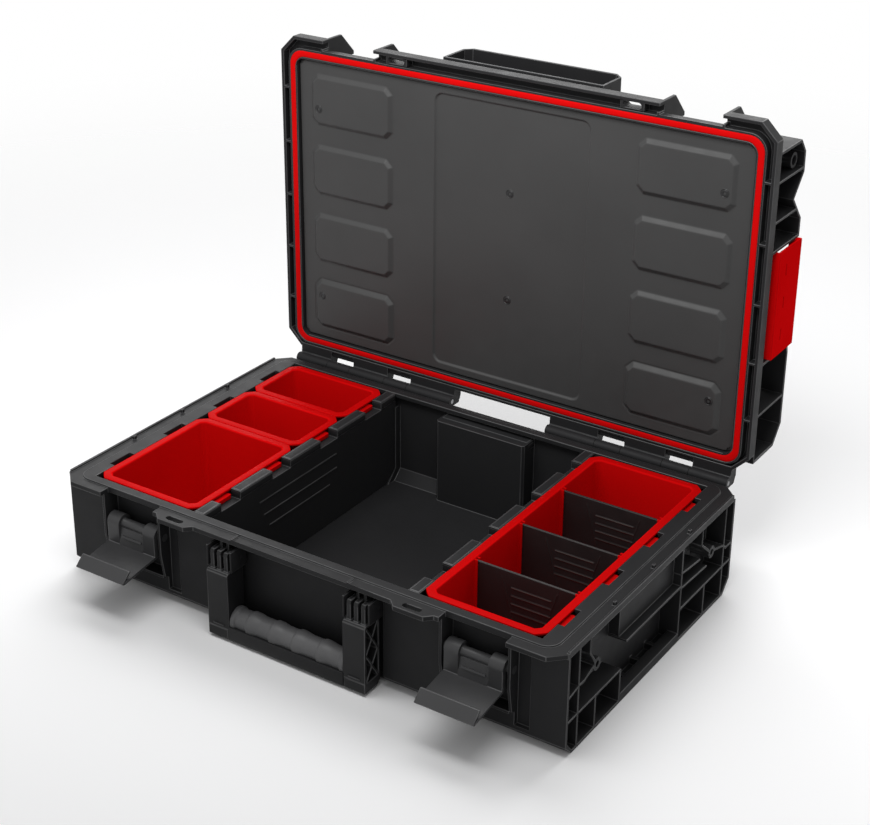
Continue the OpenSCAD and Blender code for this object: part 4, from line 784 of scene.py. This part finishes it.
# %% [markdown]
# # Sleeves of the latches
# Between its two arms a latch lever closes round its pin with a plain tube, and a thin web with a
# rib runs from there to the blade that a finger pulls. The tube is a lathe with slightly flared
# ends, the web and rib are outlines carried along x, and all of it turns with the lever.

# %% Latch sleeves
pin_y, pin_z = -167, 74
sleeve_length, web_half, rib_half = 31, 15.4, 12.5
# Radius and distance along the pin
tube = [(4.1, 0), (5.5, 0), (5.5, 0.4), (5.0, 1.2), (5.0, 29.8), (5.5, 30.6), (5.5, 31), (4.1, 31)]
# Outlines in y and z
web = [(-176.6, 53.5), (-173.4, 53.5), (-170.6, 72), (-172.6, 71.5)]
rib = [(-175.9, 62.4), (-173.6, 62.0), (-173.3, 63.8), (-175.2, 64.2)]
for node in ("latch_lever_left", "latch_lever_right"):
    low, high = span(node)
    middle = (low[0] + high[0]) / 2
    sleeve = moved(lying(lathe(tube, 40)), (middle - sleeve_length / 2, pin_y, pin_z))
    plates = [carried(web, middle - web_half, middle + web_half), carried(rib, middle - rib_half, middle + rib_half)]
    new_piece(node + "_sleeve", joined([sleeve, *plates]), "lever_plastic", nodes[node]["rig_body"], sharp=50)
    print("sleeve of", node, "round x", round(middle, 1))

# %% [markdown]
# # Round tops inside the case
# Hands reach in here, so the mould rounds what they brush against: the blocks between the notches
# of each partition, and the upper edge of the box in the middle of the back wall. Each gets a cap
# with a larger radius, a third of a millimetre proud of the flat shape below it.

# %% Caps of the partitions and the middle box
part_low, part_high = span("partition_right")
notches = [cells_start + (k + 0.5) * cell_length for k in range(4)]
notch_half, cap_foot, cap_proud, cap_edge = 14.5, 99.6, 0.3, 2.2
block_ends = [part_low[1]] + [y + s * notch_half for y in notches for s in (-1, 1)] + [part_high[1]]
for side, node in ((-1, "partition_left"), (1, "partition_right")):
    caps = [soft_plate((part_low[0] + 0.3, y0 - 0.1, cap_foot), (part_high[0], y1 + 0.1, part_high[2] + cap_proud),
                       1.6, 1, cap_edge) for y0, y1 in zip(block_ends[0::2], block_ends[1::2])]
    caps = joined([mirrored(cap) for cap in caps] if side < 0 else caps)
    new_piece(node + "_caps", caps, "charcoal_plastic", nodes[node]["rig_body"], edge_highlight_finish="charcoal_edge_highlight", sharp=60)
box_half = 55.2
box_cap = soft_plate((-box_half, 156.7, 90), (box_half, 177.5, 101.3), 2.6, 0.6, 3.2)
new_piece("middle_box_cap", box_cap, "charcoal_plastic", "base", edge_highlight_finish="charcoal_edge_highlight", sharp=60)
print("partition blocks end at", np.round(block_ends, 1))

# %% [markdown]
# # Webs of the lid above the hinge
# Between the lid's own knuckles its back edge comes down in a short web, which leaves only a
# narrow slot above each knuckle of the base. The webs are plates of the rim's thickness.

# %% Lid webs
web_middles = (-212.0, -133.9, 133.9, 212.0)
lid_web_half, web_low, web_high = 15.3, hinge_z + 8.2, hinge_z + 14.2
webs = [soft_plate((x - lid_web_half, 195.6, web_low), (x + lid_web_half, 197.8, web_high), 0.3, 1, 0.3)
        for x in web_middles]
new_piece("lid_webs", joined(webs), "charcoal_plastic", lid_body, edge_highlight_finish="charcoal_edge_highlight", sharp=50)
print("webs at", web_middles)

# %% [markdown]
# # Small plates of the handle
# The front of the handle is one flat U: a strip in front of the grip fills the gap between the
# arms, and each arm carries a short raised dash. Both are plates with soft edges.

# %% Handle strip and dashes
handle_body = nodes["handle_frame"]["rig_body"]
front = span("handle_frame")[0][1]
strip_half, strip_low, strip_high, arm_x, dash_half = 67.3, 3.6, 17.6, 79.5, 6.5
strip = soft_plate((-strip_half, front - 0.02, strip_low), (strip_half, front + 3.8, strip_high), 0.2, 1, 0.4)
dashes = [soft_plate((x - dash_half, front - 0.4, 16.6), (x + dash_half, front + 0.6, 17.8), 0.3, 1, 0.2)
          for x in (-arm_x, arm_x)]
new_piece("handle_strip", strip, "handle_plastic", handle_body, sharp=50)
new_piece("handle_dashes", joined(dashes), "lever_plastic", handle_body, sharp=50)
print("handle front at y", round(front, 1))

# %% [markdown]
# # Cheeks that hold the handle's pins
# On the base a narrow cheek stands on either side of each arm of the handle and holds its pin.
# The end of the pin shows as a small hole in deep shade, so a thin dark disc on the cheek paints that shade.

# %% Handle cheeks
cheek_thick, cheek_low, cheek_high = 2.2, (-184.0, 75.6), (-161.6, 97.5)  # The corners in y and z
# Each pin hole is a thin dark disc of painted shade.
shade_disc_line, hole_at = [(0.05, 0), (1.7, 0), (1.7, 0.15), (0.05, 0.15)], (-169.5, 87)
cheeks = joined([soft_plate((x, *cheek_low), (x + cheek_thick, *cheek_high), 0.8, 1, 0.5) for x in (64.3, 92.5)])
hole_shade_discs = joined([moved(lying(lathe(shade_disc_line, 20)), (x, *hole_at)) for x in (64.2, 94.62)])
both_sides = {"left": (mirrored(cheeks), mirrored(hole_shade_discs)), "right": (cheeks, hole_shade_discs)}
for side, (plates, discs) in both_sides.items():
    new_piece("handle_cheeks_" + side, plates, "charcoal_plastic", "base", edge_highlight_finish="charcoal_edge_highlight", sharp=50)
    # The dark discs paint the shade in the pin holes.
    new_piece("handle_hole_shade_" + side, discs, "screw_black_and_painted_shade", "base", sharp=50)
print("cheeks of", round(cheek_high[0] - cheek_low[0], 1), "by", round(cheek_high[1] - cheek_low[1], 1), "mm")

# %% [markdown]
# # Pins
# The pins are plain cylinders of the right size already, so they keep their own shape and only
# get a finish: plastic for those of the latches, black for the handle's, which paints the shade
# they sit in, and bright steel for the others.

# %% Dress the pins
# Black on the handle's pins paints the shade they sit in.
pin_finishes = {"latch": "lever_plastic", "handle": "screw_black_and_painted_shade"}
pins = [name for name in nodes if "pin" in name]
for name in pins:
    nodes[name].data.materials.clear()
    nodes[name].data.materials.append(finishes[pin_finishes.get(name.split("_")[0], "steel")])
print("pins:", pins)

# %% [markdown]
# # Rays that are seen
# The ground should look almost white, but so much white round a dark case would also throw too
# much light up at it. The two can be told apart by the kind of ray: a ray that ends in the eye,
# straight or by a reflection or through glass, gets one value, and a ray that only lights things
# gets another. Floor and world both use this switch.

# %% A switch for seen rays
def seen_rays(tree):
    """1 for camera, glossy and transmission rays, 0 for all others."""
    paths = tree.nodes.new("ShaderNodeLightPath")
    value = paths.outputs["Is Camera Ray"]
    for kind in ("Is Glossy Ray", "Is Transmission Ray"):
        larger = tree.nodes.new("ShaderNodeMath")
        larger.operation = "MAXIMUM"
        tree.links.new(value, larger.inputs[0])
        tree.links.new(paths.outputs[kind], larger.inputs[1])
        value = larger.outputs[0]
    return value


meshes = [thing for thing in bpy.context.scene.objects if thing.type == "MESH"]
print("pieces made:", len(meshes) - len(nodes))

# %% [markdown]
# # Floor
# The photograph has a seamless white ground that turns to a pale grey near the case, with the
# case's own soft shadow on it. A wide plane in a pale, dull finish does that.

# %% Floor
floor_half = 14.0
floor_corners = [(x * floor_half, y * floor_half, 0) for x, y in ((-1, -1), (1, -1), (1, 1), (-1, 1))]
floor_mesh = bpy.data.meshes.new("floor")
floor_mesh.from_pydata(floor_corners, [], [(0, 1, 2, 3)])
floor = bpy.data.objects.new("floor", floor_mesh)
bpy.context.scene.collection.objects.link(floor)
floor_finish = bpy.data.materials.new("pale_floor")
floor_finish.use_nodes = True
floor_tree = floor_finish.node_tree
floor_shader = floor_tree.nodes["Principled BSDF"]
floor_shader.inputs["Roughness"].default_value = 0.9
floor_shader.inputs["Specular IOR Level"].default_value = 0.0
floor_colour = floor_tree.nodes.new("ShaderNodeMix")
floor_colour.data_type = "RGBA"
floor_colour.inputs["A"].default_value = (0.55, 0.55, 0.553, 1)
floor_colour.inputs["B"].default_value = (0.95, 0.95, 0.955, 1)
floor_tree.links.new(seen_rays(floor_tree), floor_colour.inputs["Factor"])
floor_tree.links.new(floor_colour.outputs["Result"], floor_shader.inputs["Base Color"])
floor_mesh.materials.append(floor_finish)
print("floor of", 2 * floor_half, "m")

# %% [markdown]
# # The floor's far end
# A studio ground has no horizon, because a paper roll curves up behind the object. Here the floor
# fades out with its distance from the case, and the white world shows through. The fade starts
# outside the shadow, so that the shadow stays whole.

# %% Fade of the floor
fade_centre, fade_from, fade_to = (0.1, -0.1, 0.0), 0.75, 2.2
floor_place = floor_tree.nodes.new("ShaderNodeTexCoord")
from_case = floor_tree.nodes.new("ShaderNodeVectorMath")
from_case.operation = "DISTANCE"
from_case.inputs[1].default_value = fade_centre
floor_fade = floor_tree.nodes.new("ShaderNodeMapRange")
floor_fade.interpolation_type = "SMOOTHSTEP"
floor_fade.inputs["From Min"].default_value = fade_from
floor_fade.inputs["From Max"].default_value = fade_to
clear = floor_tree.nodes.new("ShaderNodeBsdfTransparent")
floor_mix = floor_tree.nodes.new("ShaderNodeMixShader")
floor_tree.links.new(floor_place.outputs["Object"], from_case.inputs[0])
floor_tree.links.new(from_case.outputs["Value"], floor_fade.inputs["Value"])
floor_tree.links.new(floor_fade.outputs["Result"], floor_mix.inputs[0])
floor_tree.links.new(floor_shader.outputs[0], floor_mix.inputs[1])
floor_tree.links.new(clear.outputs[0], floor_mix.inputs[2])
floor_tree.links.new(floor_mix.outputs[0], floor_tree.nodes["Material Output"].inputs["Surface"])
print("floor fades from", fade_from, "to", fade_to, "m")

# %% [markdown]
# # World
# The world is the studio room. It lights the case faintly from all sides, which keeps the deep
# corners readable, and where it is seen it is pure white, as the paper behind the case is.

# %% World
world = bpy.data.worlds.new("studio")
bpy.context.scene.world = world
world.use_nodes = True
sky_tree = world.node_tree
sky, backdrop = sky_tree.nodes["Background"], sky_tree.nodes.new("ShaderNodeBackground")
for background, strength in ((sky, 0.37), (backdrop, 1.0)):
    background.inputs["Color"].default_value = (1, 1, 1, 1)
    background.inputs["Strength"].default_value = strength
sky_mix = sky_tree.nodes.new("ShaderNodeMixShader")
sky_tree.links.new(seen_rays(sky_tree), sky_mix.inputs[0])
sky_tree.links.new(sky.outputs[0], sky_mix.inputs[1])
sky_tree.links.new(backdrop.outputs[0], sky_mix.inputs[2])
sky_tree.links.new(sky_mix.outputs[0], sky_tree.nodes["World Output"].inputs["Surface"])
print("world strength:", sky.inputs["Strength"].default_value)

# %% [markdown]
# # Suns
# Two suns with a wide disc light the case, as large soft boxes in a studio do. The strong one
# comes from behind on the left, which leaves the front of the case dark and lays the shadow to the
# right front; the weak one fills the front. Unlike lamps, suns don't fade towards the edge of the
# floor.

# %% Suns
def sun(name, azimuth, elevation, strength, width):
    """A sun that shines from that azimuth and elevation; width is the angle of its disc."""
    data = bpy.data.lights.new(name, "SUN")
    data.energy, data.angle = strength, math.radians(width)
    lamp = bpy.data.objects.new(name, data)
    lamp.matrix_world = camera_turn(math.radians(azimuth), math.radians(elevation), 0.0).to_4x4()
    bpy.context.scene.collection.objects.link(lamp)
    return lamp


key_sun = sun("key_sun", -158, 42, 2.35, 60)
front_sun = sun("front_sun", -30, 40, 0.15, 60)
print("suns:", key_sun.data.energy, front_sun.data.energy)

# %% [markdown]
# # A soft box above the lid
# The inner panel of the lid is brightest at its top and falls off quickly towards the hinge, and
# the front of the case stays dark. So a third light must hang close above the case, near enough
# for its strength to fall off over the height of the lid. It is an area lamp that looks down at
# the panel at a shallow angle.

# %% Soft box
box_data = bpy.data.lights.new("soft_box", "AREA")
box_data.shape, box_data.size, box_data.size_y = "RECTANGLE", 0.9, 0.35
box_data.energy, box_data.spread = 2.7, math.radians(105)
soft_box = bpy.data.objects.new("soft_box", box_data)
lamp_at, lamp_to = np.array([0.05, -0.28, 0.98]), np.array([0.0, 0.2, 0.36])
toward = lamp_to - lamp_at
soft_box.matrix_world = Matrix.Translation(lamp_at.tolist()) @ camera_turn(
    math.atan2(-toward[0], toward[1]), math.asin(-toward[2] / np.linalg.norm(toward)), 0.0).to_4x4()
bpy.context.scene.collection.objects.link(soft_box)
print("soft box:", box_data.energy, "W at a height of", lamp_at[2], "m")

# %% [markdown]
# # Measure and finish
# The colour view
# the dressed case is noted next to that of the bare one: they should agree to the millimetre,
# because a dressed piece may not be larger than what it stands for.

# %% The colour view
bpy.context.scene.view_settings.view_transform = "Standard"
